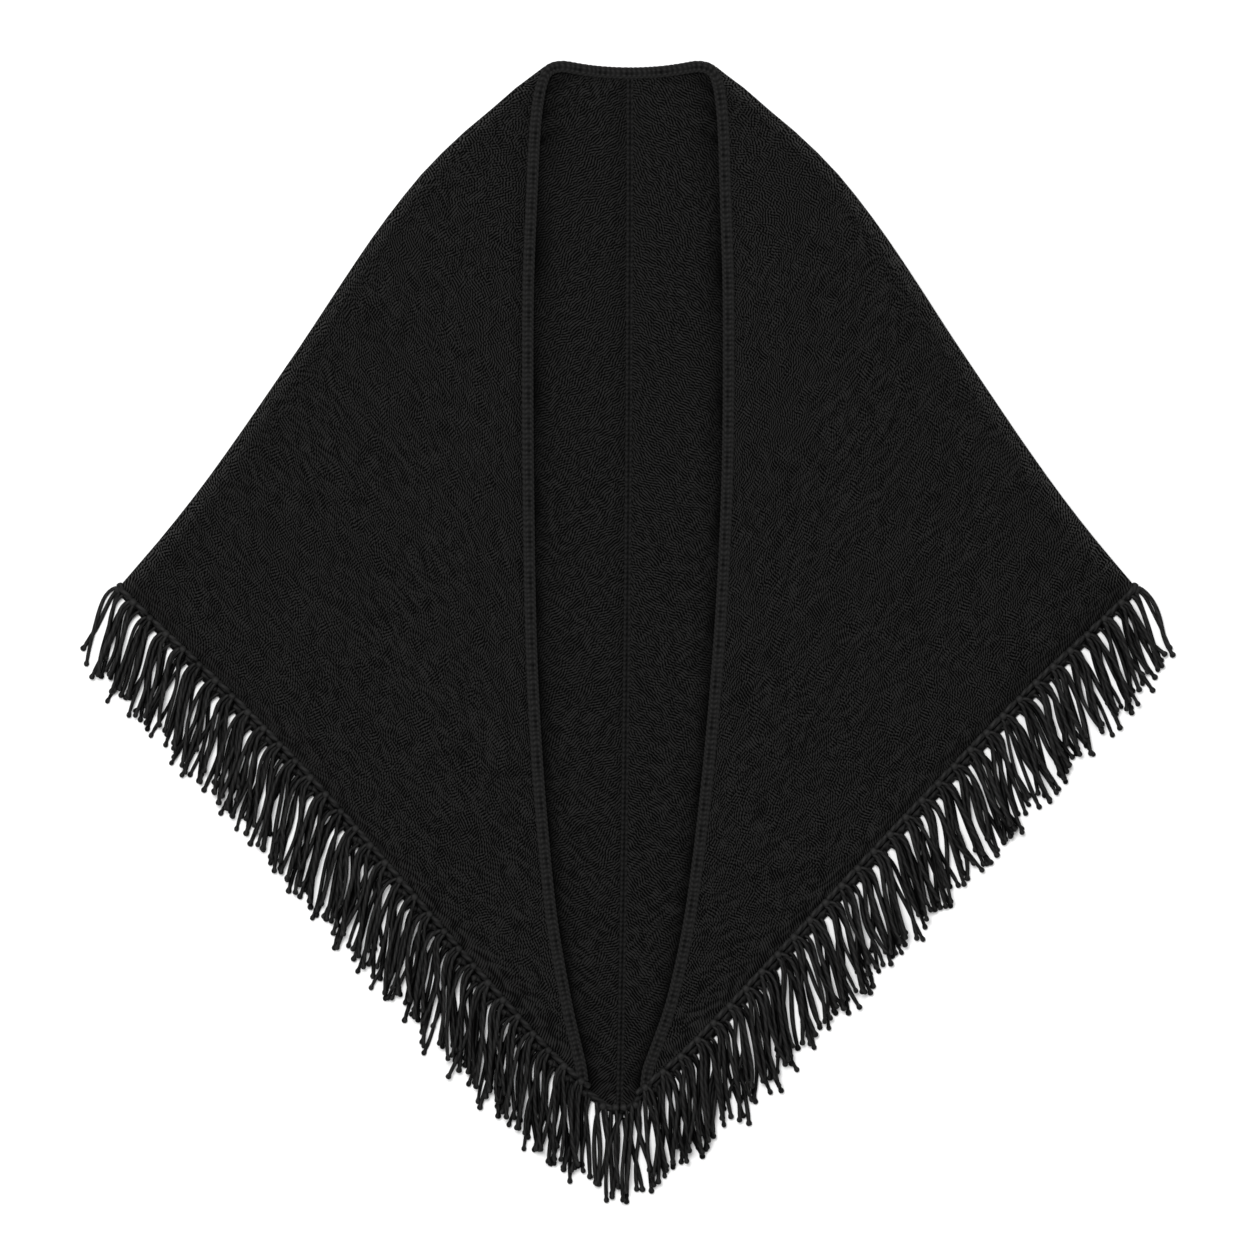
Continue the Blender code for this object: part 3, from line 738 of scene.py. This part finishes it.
def bunch_start(hem, side, bunch):
    facts = HEMS[hem]
    last = LEG - facts["end"] * MM - 2 * STRAND_CELL
    return mix(facts["start"][COLUMN[side] - 1] * MM, last, bunch / (facts["bunches"] - 1))


def fringe_strands(hem, side):
    """The two strands of each bunch, drawn again until they clear their neighbours of the same height."""
    dice = random.Random(SEED[f"{hem}_{side}"])
    outward_angle = math.acos(INWARD[1])
    strands = []
    for bunch in range(HEMS[hem]["bunches"]):
        pair = []
        for second in (0, 1):
            distance = bunch_start(hem, side, bunch) + second * STRAND_CELL
            middle = distance + STRAND_CELL / 2
            edge = hem_point(middle, hem, side) - INWARD * CORD_REACH
            spread = math.radians(BUNCH_SPREAD if second else -BUNCH_SPREAD)
            start_lean = outward_angle * START_LEAN * float(smooth(middle / START_LEAN_RUN))
            while True:
                strand = Strand(edge, start_lean + spread, middle, side, dice)
                line = strand.points()
                free = True
                if strands:
                    other = strands[-1][second].points()[3:]
                    apart = np.linalg.norm(line[3:, None] - other[None], axis=-1)
                    free = apart.min() >= CLEARANCE
                if free and line[:, 0].max() < -NEAREST_TO_MIDDLE:
                    break
            pair.append(strand)
        strands.append(pair)
    return strands


def tip_strands():
    dice = random.Random(SEED["tip"])
    strands = []
    for cell in (0, 1):
        aside = cell - 0.5
        root = TIP + np.array([-aside * STRAND_CELL, -TIP_CORD_GAP - HEM_CORD_WIDTH - KNOT_SWELL / 2])
        strand = Strand(root, math.radians(aside * TIP_START_SPREAD), 0, "left", dice)
        strand.end = math.radians(aside * TIP_SPREAD)
        strand.sway = 0
        strands.append(strand)
    return [strands]


bunches = {(hem, side): fringe_strands(hem, side) for hem in ("back", "front") for side in SIDES}
bunches["back", "tip"] = tip_strands()
print("bunches:", sum(len(found) for found in bunches.values()))

# %% [markdown]
# The real bunches hold a few more strands. So each gets a third, the one at the tip gets five more in a row,
# and the back hem has two strands between its bunches. They have their own random numbers and cross their
# neighbours more freely, and the first two of a bunch get a little of that freedom too.

# %% More strands in each bunch
EXTRA_LEAN = 15
FIRST_LEAN = 5
TIP_STEP = 4.4 * MM
BETWEEN = 6.6 * MM
TIP_LEAN = 2
TIP_EXTRAS = 5
TIP_ROOT_OUT = 4 * MM
EXTRA_LENGTHS = (0.8, 1.03)
FIRST_LENGTHS = (0.92, 1.02)
extra = random.Random(31)


def extra_count(hem, side, number):
    """How many strands a bunch gets: its third, and on the back hem those up to the next bunch."""
    if side == "tip":
        return TIP_EXTRAS
    has_next = number < HEMS[hem]["bunches"] - 1
    return 3 if hem == "back" and has_next else 1


def extra_strand(hem, side, number, bunch, turn):
    """One more strand for a bunch: in its middle, or turn steps further along the hem."""
    first, second = bunch[:2]
    if side == "tip":
        aside = (turn - 2) * TIP_STEP
        root = TIP + np.array([aside, abs(aside) - TIP_ROOT_OUT])
        distance, half, lean = 0, "left", TIP_LEAN
    else:
        start = bunch_start(hem, side, number) + STRAND_CELL / 2
        distance, half, lean = start + turn * BETWEEN, side, EXTRA_LEAN
        root = (first.root + second.root) / 2 - INWARD * ROOT_DEPTH
        root += hem_point(distance, hem, side) - hem_point(start, hem, side)
    added = Strand(root, (first.start + second.start) / 2, distance, half, extra)
    added.end += math.radians(extra.uniform(-lean, lean))
    added.length *= extra.uniform(*EXTRA_LENGTHS)
    return added


for (hem, side), found in bunches.items():
    for number, bunch in enumerate(found):
        for turn in range(extra_count(hem, side, number)):
            bunch.append(extra_strand(hem, side, number, bunch, turn))
        for strand in bunch[:2]:
            strand.end += math.radians(extra.uniform(-FIRST_LEAN, FIRST_LEAN))
            strand.length *= extra.uniform(*FIRST_LENGTHS)
print("strands:", sum(len(bunch) for found in bunches.values() for bunch in found))

# %% [markdown]
# A strand's height is settled from the lowest layer up. It lies on the floor, or on the strands that are
# already there, presses into them a little, and is too stiff to dip into every gap. A grid of heights over
# the floor keeps count of what lies where.

# %% Settle the strands on each other
STRAND_HALF_WIDTH = 1.9 * MM
STRAND_HALF_HEIGHT = 1.5 * MM
FINE_STEP = 4.2 * MM
SLOPE = 0.16
PRESSED = 0.6
CELL = 1.0 * MM
FLOOR = 0.3 * MM
FIELD_CORNER = np.array([-0.53, -0.53])
REACH = 3
field = np.full((1000, 1060), FLOOR)
near = range(-REACH, REACH + 1)
disc = [(i, j) for i in near for j in near if i * i + j * j <= 7]


def cells(points):
    i, j = ((points - FIELD_CORNER) / CELL).astype(int).T
    return np.clip(i, REACH, field.shape[1] - REACH - 1), np.clip(j, REACH, field.shape[0] - REACH - 1)


def highest(points):
    """The highest thing so far beneath and close to each point."""
    i, j = cells(points)
    return np.max([field[j + b, i + a] for a, b in disc], axis=0)


def settle(plan, root_height):
    """Heights of a strand's middle: pressed into what lies under it, without a bend that is too sharp."""
    i, j = cells(plan)
    under = np.maximum(highest(plan) + PRESSED * STRAND_HALF_HEIGHT, FLOOR + STRAND_HALF_HEIGHT)
    under[0] = max(under[0], root_height)
    length = lengths(plan)
    cone = under[None] - SLOPE * np.abs(length[:, None] - length[None])
    height = cone.max(1)
    for _ in range(3):
        height[1:-1] = np.maximum(under[1:-1], (height[:-2] + 2 * height[1:-1] + height[2:]) / 4)
    for a, b in disc:
        rounded = 1 - (a * a + b * b) / 14
        np.maximum.at(field, (j + b, i + a), height + PRESSED * STRAND_HALF_HEIGHT * rounded)
    return height


print("grid of heights:", field.shape, "cells of", CELL / MM, "mm")

# %% [markdown]
# The strands are laid in turns: each bunch's third first, then its first two on top, then the extra ones.
# Each is bent a little on the way. Its head springs out of the knot, and the first two bow apart.

# %% Lay the strands
HEAD_PUSH = 3.4 * MM
HEAD_PLACE = 12 * MM
HEAD_RANGE = (0.6, 1.3)
BOWS = (0.4, 5.0)
BOW_TO = (-1, 1, 0)
SWAY = 2.2 * MM
PLAN_STEP = 1.5 * MM
LAYING_ORDER = (2, 0, 1, 3, 4, 5, 6)
ROOT_IN_CORD = 0.9 * MM


def drape(plan, turn, distance, dice):
    """Bends a strand on the plan."""
    along = lengths(plan)
    tangent = np.gradient(plan, axis=0)
    tangent /= np.linalg.norm(tangent, axis=1, keepdims=True)
    outside = np.stack([tangent[:, 1], -tangent[:, 0]], -1)
    head = HEAD_PUSH * dice.uniform(*HEAD_RANGE) * float(smooth(distance / START_LEAN_RUN))
    push = head * (along / HEAD_PLACE) * np.exp(1 - along / HEAD_PLACE)
    share = along / along[-1]
    bow = dice.uniform(*BOWS) * MM * BOW_TO[turn % 3]
    push = push + bow * np.sin(math.pi * share ** dice.uniform(0.7, 1.2))
    push = push + dice.uniform(-SWAY, SWAY) * np.sin(2 * math.pi * share + dice.uniform(0, 6)) * share
    return plan + outside * push[:, None]


strand_paths = {}
bending = random.Random(21)
for hem in ("back", "front"):
    for turn in LAYING_ORDER:
        for (kind, side), found in bunches.items():
            for number, bunch in enumerate(found):
                if kind != hem or turn >= len(bunch):
                    continue
                distance = 0 if side == "tip" else bunch_start(hem, side, number)
                plan = drape(bunch[turn].points(PLAN_STEP), turn, distance, bending)
                plan = even_path(placed(plan, "left" if side == "tip" else side), FINE_STEP)
                height = settle(plan, HEMS[hem]["cord"] - ROOT_IN_CORD)
                strand_paths[kind, side, number, turn] = np.concatenate([plan, height[:, None]], -1)
top = max(float(line[:, 2].max()) for line in strand_paths.values())
print("strands:", len(strand_paths), "highest middle", round(top / MM, 1), "mm")

# %% [markdown]
# A strand is a soft round cord, a little flat where it lies. Its last five millimetres swell into a knot and
# close in a short tuft.

# %% Make the strands
STRAND_SIDES = 8
THICKNESSES = (0.8, 1.06)
# distance from the strand's end (mm), how thick it is there
END_KNOT = [(5.2, 0.85), (4.2, 1.05), (2.8, 1.36), (1.4, 1.32), (0.4, 0.95), (0.0, 0.4)]
# distance from its root (mm), how thick it is there
ROOT_TAPER = [(0, 0.62), (1.2, 0.95)]


def show_strand(name, line, thick):
    """One strand along its line. thick is its width beside the others'."""
    from_end, end_swell = np.array(END_KNOT).T
    from_root, root_swell = np.array(ROOT_TAPER).T
    ends = lengths(line)[-1] - from_end * MM
    at = np.concatenate([from_root * MM, np.arange(FINE_STEP, ends[0] - 2 * MM, FINE_STEP), ends])
    swell = 1 + 0.07 * np.sin(at / (9 * MM) + thick * 40)
    swell[:2], swell[-6:] = root_swell, end_swell
    path = points_at(line, at)
    half_height = STRAND_HALF_HEIGHT * swell
    path[:, 2] = np.maximum(path[:, 2], half_height + FLOOR)
    return show_tube(name, path, STRAND_HALF_WIDTH * thick * swell, half_height, STRAND_SIDES)


def join(name, pieces):
    """Joins objects into one named object."""
    select_only(pieces)
    bpy.ops.object.join()
    joined = bpy.context.view_layer.objects.active
    joined.name = joined.data.name = name
    return joined


fringe_parts = {key: [] for key in bunches}
for (hem, side, number, turn), line in strand_paths.items():
    strand = show_strand(f"strand_{hem}_{side}_{number}_{turn}", line, bending.uniform(*THICKNESSES))
    fringe_parts[hem, side].append(strand)
print("made", sum(len(parts) for parts in fringe_parts.values()), "strands")

# %% [markdown]
# ## Hem cord and knots
#
# The hem cord is drawn as a chain: it is thick in the middle of each link and thin where a knot grips it.
# At the corner the hem itself folds over, so the cord turns round it, from the back to the front. The knot
# is modelled once, from a ball that a groove divides, and copied to each bunch.

# %% The knot, made once
KNOT_HALF = (3.5 * MM, 4.0 * MM, 3.5 * MM)
GROOVE = 1.1 * MM
bpy.ops.mesh.primitive_uv_sphere_add(segments=10, ring_count=8, radius=1, location=(0, 0, 0))
knot_model = bpy.context.object
knot_model.name = "knot_model"
bpy.ops.object.mode_set(mode="EDIT")
bpy.ops.mesh.select_all(action="SELECT")
bpy.ops.transform.resize(value=KNOT_HALF)
bpy.ops.object.mode_set(mode="OBJECT")
for vert in knot_model.data.vertices:
    groove = math.exp(-((vert.co.x / GROOVE) ** 2))
    vert.co.y *= 1 - 0.1 * groove
    vert.co.z *= 1 - 0.22 * groove
print("knot:", triangles(knot_model), "triangles")


def knot_copy(place, direction):
    """A copy of the knot with its own mesh, its groove square to a direction on the plan."""
    copy = knot_model.copy()
    copy.data = knot_model.data.copy()
    turn = Matrix.Rotation(math.atan2(direction[1], direction[0]), 4, "Z")
    copy.data.transform(Matrix.Translation(place) @ turn)
    bpy.context.scene.collection.objects.link(copy)
    return copy


# %% Cords along the hems
CORD_REACH_OUT = {"tip": 1.8 * MM, "back": 3.1 * MM, "front": 2.3 * MM}
LINK_HALF_WIDTH = {"tip": 2.9 * MM, "back": 4.2 * MM, "front": 2.8 * MM}
PINCH = {"back": 0.2, "front": 0.34}
PINCH_RUN = 5.0 * MM
LINK_HALF_HEIGHT = 2.1 * MM
CORD_STEP = 1.6 * MM
CORD_SIDES = 8
KNOT_REACH_OUT = {"back": 4.6 * MM, "front": 3.2 * MM}
KNOT_LIFT = 1.3 * MM
TIP_RUN = 40 * MM
TURN_OUT = 5.5 * MM
TURN_IN = 1.5 * MM
# the three knots at the tip: their places across and up from it (mm)
TIP_KNOTS = [(-3.4, 3.5), (0, -3.7), (3.4, 3.5)]


def corner_turn(side):
    """The cord's way round the fold: from the back hem out past the corner, up, and on to the front hem."""
    angle = np.linspace(-0.5, 0.5, 9) * math.pi
    middle = hem_point(FOLD_AT, "back", side) - INWARD * CORD_REACH_OUT["front"]
    plan = middle + (ALONG * TURN_OUT + INWARD * TURN_IN) * np.cos(angle)[:, None]
    low, high = HEMS["back"]["cord"], HEMS["front"]["cord"]
    return plan, mix(low, high, (np.sin(angle) + 1) / 2)


def show_hem_cord(hem, side, knots_at):
    """The cord of one hem, pinched at its knots. The front's goes on round the corner of the fold."""
    first = -1.5 * MM if hem == "back" else knots_at[0] - 2 * STRAND_CELL
    at = np.arange(first, FOLD_AT, CORD_STEP)
    from_tip = smooth(at / TIP_RUN) if hem == "back" else np.ones(len(at))
    out = mix(CORD_REACH_OUT["tip"], CORD_REACH_OUT[hem], from_tip)[:, None]
    plan = hem_point(at, hem, side) - INWARD * out
    level = np.full(len(at), HEMS[hem]["cord"])
    swell = 1 - PINCH[hem] * (1 - smooth(np.abs(at[:, None] - knots_at[None]).min(1) / PINCH_RUN))
    wide = swell * mix(LINK_HALF_WIDTH["tip"], LINK_HALF_WIDTH[hem], from_tip)
    if hem == "front":
        turn, turn_level = corner_turn(side)
        plan, level = np.concatenate([plan, turn[::-1]]), np.concatenate([level, turn_level[::-1]])
        swell = np.concatenate([swell, np.ones(len(turn))])
        wide = swell * LINK_HALF_WIDTH[hem]
    path = np.concatenate([placed(plan, side), level[:, None]], -1)
    return show_tube(f"cord_{hem}_{side}", path, wide, LINK_HALF_HEIGHT * swell, CORD_SIDES)


for hem, facts in HEMS.items():
    for side in SIDES:
        knots_at = np.array([bunch_start(hem, side, n) for n in range(facts["bunches"])]) + STRAND_CELL
        fringe_parts[hem, side].append(show_hem_cord(hem, side, knots_at))
        knots = placed(hem_point(knots_at, hem, side) - INWARD * KNOT_REACH_OUT[hem], side)
        along = (-ALONG[0] * SIDES[side], ALONG[1])
        for place in knots:
            fringe_parts[hem, side].append(knot_copy((*place, facts["cord"] + KNOT_LIFT), along))
for from_tip in TIP_KNOTS:
    tip_knot = placed(TIP + np.array(from_tip) * MM, "left")
    fringe_parts["back", "tip"].append(knot_copy((*tip_knot, HEMS["back"]["cord"] + KNOT_LIFT), (1, 0)))
bpy.data.objects.remove(knot_model)
print("pieces of fringe:", sum(len(parts) for parts in fringe_parts.values()))

# %% [markdown]
# The pieces of each stretch are joined. Every point also learns how far it lies beneath the top strand of
# its place, because yarn deep in a fringe gets hardly any light.

# %% Join each stretch of fringe
BURIED_DEPTH = 4.5 * MM
fringes = {}
for (hem, side), parts in fringe_parts.items():
    name = "fringe_tip" if side == "tip" else f"fringe_{hem}_{side}"
    fringe = join(f"{name}_strands", parts)
    finish_surface(fringe)
    places = np.array([vert.co for vert in fringe.data.vertices])
    depth = (highest(places[:, :2]) - places[:, 2]) / BURIED_DEPTH
    buried = fringe.data.attributes.new("buried", "FLOAT", "POINT")
    buried.data.foreach_set("value", np.clip(depth, 0, 1).astype(np.float32))
    fringes[name] = fringe
    print(fringe.name, triangles(fringe), "triangles")

# %% [markdown]
# ## Yarn materials
#
# A class that wraps a node's socket lets us write shader maths as plain Python. Values go through Math
# nodes; colours are mixed.

# %% Shader maths as Python
class Value:
    """A number that varies over a surface."""

    def __init__(self, tree, socket):
        self.tree, self.socket = tree, socket

    def maths(self, operation, *others, flip=False):
        values = [*others, self] if flip else [self, *others]
        return add_node(self.tree, "ShaderNodeMath", {"operation": operation}, values)

    def __add__(self, other):
        return self.maths("ADD", other)

    def __mul__(self, other):
        return self.maths("MULTIPLY", other)

    def __sub__(self, other):
        return self.maths("SUBTRACT", other)

    def __rsub__(self, other):
        return self.maths("SUBTRACT", other, flip=True)

    def __truediv__(self, other):
        return self.maths("DIVIDE", other)

    def clamped(self):
        return self.maths("MINIMUM", 1.0).maths("MAXIMUM", 0.0)


def add_node(tree, kind, settings, values, output=0):
    """Adds a node with its settings, then its sockets' values or links, by number or by name."""
    node = tree.nodes.new(kind)
    for name, setting in settings.items():
        setattr(node, name, setting)
    pairs = values.items() if isinstance(values, dict) else enumerate(values)
    for key, value in pairs:
        if isinstance(value, Value):
            tree.links.new(value.socket, node.inputs[key])
        else:
            node.inputs[key].default_value = value
    return Value(tree, node.outputs[output])


def blend_colours(tree, factor, first, second):
    """Mixes two colours by a value."""
    node = tree.nodes.new("ShaderNodeMix")
    node.data_type = "RGBA"
    colours = [socket for socket in node.inputs if socket.type == "RGBA"]
    tree.links.new(factor.socket, node.inputs[0])
    for socket, colour in zip(colours, (first, second)):
        if isinstance(colour, Value):
            tree.links.new(colour.socket, socket)
        else:
            socket.default_value = (*colour, 1)
    return Value(tree, next(socket for socket in node.outputs if socket.type == "RGBA"))


def new_material(name, roughness, sheen, specular):
    """A yarn material: its tree and its shader, with what is the same all over set on the shader itself."""
    made = bpy.data.materials.new(name)
    made.use_nodes = True
    shader = made.node_tree.nodes["Principled BSDF"]
    shader.inputs["Roughness"].default_value = roughness
    shader.inputs["Specular IOR Level"].default_value = specular
    shader.inputs["Sheen Weight"].default_value = sheen
    shader.inputs["Sheen Roughness"].default_value = 0.5
    shader.inputs["Sheen Tint"].default_value = (1.0, 0.98, 0.94, 1)
    return made, made.node_tree, shader


def finish_material(tree, shader, colour, height, distance):
    """Links a colour, and a height through a Bump node. distance is how many metres a height of 1 is."""
    tree.links.new(colour.socket, shader.inputs["Base Color"])
    bump = add_node(tree, "ShaderNodeBump", {}, {"Height": height, "Distance": distance, "Strength": 1.0})
    tree.links.new(bump.socket, shader.inputs["Normal"])


def attribute(tree, name):
    return add_node(tree, "ShaderNodeAttribute", {"attribute_name": name}, {}, output=2)


def texture(tree, vector, scale, detail=2.0, rough=0.5, distortion=0.0, output=0):
    """A noise: its value, or its colour with output=1."""
    grain = {"Scale": scale, "Detail": detail, "Roughness": rough, "Distortion": distortion}
    return add_node(tree, "ShaderNodeTexNoise", {}, {"Vector": vector, **grain}, output)


def soft_range(tree, value, low, high, first=0.0, last=1.0):
    """A soft step from first to last while a value goes from low to high."""
    limits = {"Value": value, "From Min": low, "From Max": high, "To Min": first, "To Max": last}
    return add_node(tree, "ShaderNodeMapRange", {"interpolation_type": "SMOOTHSTEP"}, limits)


def flat_place(tree):
    return add_node(tree, "ShaderNodeUVMap", {"uv_map": "flat"}, {})


def split(tree, place):
    """The first two coordinates of a place."""
    parts = tree.nodes.new("ShaderNodeSeparateXYZ")
    tree.links.new(place.socket, parts.inputs[0])
    return Value(tree, parts.outputs[0]), Value(tree, parts.outputs[1])


print("the shader helpers are ready")

# %% [markdown]
# ## The knitted cloth's finish
#
# The flat coordinates run across the wales and up them, in metres. They are first bent a little by a soft
# noise, because knitting never lies in ruled lines. A Gabor texture then draws short ridges that run into
# each other like the lines of a fingertip. They run straight near the hem and wander more on the fronts.
# Fine fuzz lies over them. Shade is painted into the grooves, the cloth is painted lighter along its folds
# as a sheen, and a painted shadow darkens the back beside the bands.

# %% Knit material
# colour of the painted shadow on the back beside the bands
PAINTED_SHADOW = (0.0001, 0.0001, 0.0001)
DARK_YARN = (0.0004, 0.0004, 0.0004)
LIGHT_YARN = (0.0150, 0.0148, 0.0146)
# colour of the painted sheen along the folds
PAINTED_FOLD_SHEEN = (0.0285, 0.0281, 0.0275)
RULED_BELOW = 2 * MM
FREE_ABOVE = 24 * MM
# how far from the fold the painted sheen reaches
FOLD_SHEEN_WIDTH = 13 * MM
RIDGES_SCALE = 100.0
RIDGES_FREQUENCY = 4.3
FRONT_SLANT = 0.37
FUZZ_SCALE = 900.0


def bent_place(tree, flat, push):
    """The flat place, pushed about by a soft noise."""
    wander = texture(tree, flat, 45.0, 1.5, output=1)
    centred = add_node(tree, "ShaderNodeVectorMath", {"operation": "SUBTRACT"}, [wander, (0.5, 0.5, 0.5)])
    pushed = add_node(tree, "ShaderNodeVectorMath", {"operation": "SCALE"}, {0: centred, "Scale": push})
    return add_node(tree, "ShaderNodeVectorMath", {"operation": "ADD"}, [flat, pushed])


def knit_material(name):
    made, tree, shader = new_material(name, 0.9, 0.015, 0.03)
    flat = flat_place(tree)
    up = split(tree, flat)[1]
    front = attribute(tree, "front")
    free = soft_range(tree, up, RULED_BELOW, FREE_ABOVE)
    lines = {
        "Vector": bent_place(tree, flat, free * (front * 0.002 + 0.0024)),
        "Scale": RIDGES_SCALE,
        "Frequency": RIDGES_FREQUENCY,
        "Orientation": front * FRONT_SLANT,
        "Anisotropy": 0.88 - free * (front * 0.3 + 0.28),
    }
    waves = add_node(tree, "ShaderNodeTexGabor", {"gabor_type": "2D"}, lines)
    ridges = soft_range(tree, waves, 0.4, 0.6)
    fuzz = texture(tree, flat, FUZZ_SCALE, 3.0, 0.75)
    height = ridges * 0.8 + fuzz * 0.45
    # Painted sheen: the colour is lighter close to the fold, where the cloth rounds over.
    fold_sheen = soft_range(tree, attribute(tree, "to_fold"), 0.0, FOLD_SHEEN_WIDTH, 1.0, 0.0)
    # Painted shade: the colour darkens where the ridges and fuzz of the bump are low, in their grooves.
    tone = (ridges * (front * 0.25 + 1.1) + fuzz * 0.65 - front * 0.105 - 0.485).clamped()
    colour = blend_colours(tree, tone, DARK_YARN, blend_colours(tree, fold_sheen, LIGHT_YARN, PAINTED_FOLD_SHEEN))
    # Painted shadow: the back is darkened beside the bands.
    colour = blend_colours(tree, attribute(tree, "shade"), colour, PAINTED_SHADOW)
    finish_material(tree, shader, colour, height, 0.8 * MM)
    return made


knit = knit_material("black knit")
for piece in cloth.values():
    piece.data.materials.append(knit)
print("knit material:", len(knit.node_tree.nodes), "nodes")

# %% [markdown]
# The tapes are the same yarn. Their stitches are in the mesh already, and the material paints shade into
# their grooves and into the hollows of the yarn's grain. The cords of the fringe are smoother: their yarn is
# twisted and felted, with a soft shine along each strand; shade is painted into its twist, and more into
# strands that lie deep.

# %% Tape and cord materials
TAPE_YARN = (0.0205, 0.0202, 0.0199)
# colour of the painted shade on strands that lie deep under others
CORD_PAINTED_SHADE = (0.0001, 0.0001, 0.0001)
CORD_DARK = (0.0004, 0.0004, 0.0004)
CORD_LIGHT = (0.0212, 0.0210, 0.0207)
YARN_STRETCH = (1.0, 0.55, 1.0)
TWIST_AROUND = 3.7 * MM
TWIST_ALONG = 9 * MM


def tape_material(name, yarn_colour):
    made, tree, shader = new_material(name, 0.85, 0.015, 0.05)
    along_tape = [flat_place(tree), YARN_STRETCH]
    stretched = add_node(tree, "ShaderNodeVectorMath", {"operation": "MULTIPLY"}, along_tape)
    yarn = texture(tree, stretched, 800.0, 2.0, 0.6, 0.4)
    raised = attribute(tree, "raised") * 0.5 + 0.5
    # Painted shade: the colour darkens in the stitches' grooves and in the hollows of the yarn's grain.
    tone = (raised * 1.4 + yarn * 0.4 - 0.6).clamped()
    colour = blend_colours(tree, tone, DARK_YARN, yarn_colour)
    finish_material(tree, shader, colour, yarn, 0.35 * MM)
    return made


def cord_material(name):
    made, tree, shader = new_material(name, 0.5, 0.0, 0.06)
    around, along = split(tree, flat_place(tree))
    place = add_node(tree, "ShaderNodeTexCoord", {}, {}, output=3)
    patches = texture(tree, place, 45.0, 2.0, 0.5)
    turns = around / TWIST_AROUND + along / TWIST_ALONG + patches * 0.6
    twist = (turns * (2 * math.pi)).maths("SINE") * 0.5 + 0.5
    fuzz = texture(tree, place, 650.0, 2.0, 0.65)
    height = twist * 0.25 + fuzz * 0.4
    # Painted shade: the colour darkens in the hollows of the twist and fuzz; the patches are random tone.
    tone = (twist * 0.45 + fuzz * 0.6 + patches * 0.4 - 0.25).clamped()
    colour = blend_colours(tree, tone, CORD_DARK, CORD_LIGHT)
    # Painted shade: strands that lie deep under others are darkened.
    colour = blend_colours(tree, attribute(tree, "buried") * 0.95, colour, CORD_PAINTED_SHADE)
    finish_material(tree, shader, colour, height, 0.45 * MM)
    return made


tape = tape_material("black tape", TAPE_YARN)
spine_tape = tape_material("black spine", LIGHT_YARN)
cord = cord_material("black fringe cord")
edge_band.data.materials.append(tape)
spine_rib.data.materials.append(spine_tape)
for piece in fringes.values():
    piece.data.materials.append(cord)
print("materials:", [material.name for material in (knit, tape, spine_tape, cord)])

# %% [markdown]
# ## Floor and light
#
# The wrap was photographed on white under very even light. A pale floor, a bright surround and one large
# soft lamp above give that, with just enough direction to model the ridges.

# %% Floor, surround and lamp
FLOOR_WIDTH = 12
FLOOR_LEVEL = -0.02 * MM
PAPER = (0.92, 0.92, 0.92, 1)
SURROUND_STRENGTH = 0.62
LAMP_WIDTH = 1.6
LAMP_WATTS = 95
LAMP_PLACE = (-0.5, 0.8, 3.1)
bpy.ops.mesh.primitive_plane_add(size=FLOOR_WIDTH, location=(0, 0, FLOOR_LEVEL))
floor = bpy.context.object
floor.name = "floor"
paper = bpy.data.materials.new("white paper")
paper.use_nodes = True
paper_shader = paper.node_tree.nodes["Principled BSDF"]
paper_shader.inputs["Base Color"].default_value = PAPER
paper_shader.inputs["Roughness"].default_value = 0.9
paper_shader.inputs["Specular IOR Level"].default_value = 0.1
floor.data.materials.append(paper)

world = bpy.data.worlds.new("surround")
world.use_nodes = True
world.node_tree.nodes["Background"].inputs["Color"].default_value = (1, 1, 1, 1)
world.node_tree.nodes["Background"].inputs["Strength"].default_value = SURROUND_STRENGTH
bpy.context.scene.world = world

lamp_data = bpy.data.lights.new("lamp", "AREA")
lamp_data.shape = "DISK"
lamp_data.size = LAMP_WIDTH
lamp_data.energy = LAMP_WATTS
lamp = bpy.data.objects.new("lamp", lamp_data)
lamp.location = LAMP_PLACE
lamp.rotation_euler = (-lamp.location).to_track_quat("-Z", "Y").to_euler()
bpy.context.scene.collection.objects.link(lamp)
print("lamp at", tuple(round(x, 2) for x in lamp.location))

# %% [markdown]
# ## Hand the pieces to the frame
#
# Each piece rides on the one body of the wrap and stands for the measured solids that it covers.

# %% Ride and replace
PIECES = [
    (cloth["left"], "black_knit", ["panel_left"]),
    (cloth["right"], "black_knit", ["panel_right"]),
    (spine_rib, "black_rib", ["spine"]),
    (edge_band, "black_rib", ["band_front_left", "band_neck", "band_front_right"]),
]
PIECES += [(piece, "black_fringe_cord", [node]) for node, piece in fringes.items()]
for piece, finish, nodes in PIECES:
    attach(piece, "root")
    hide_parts(*nodes)
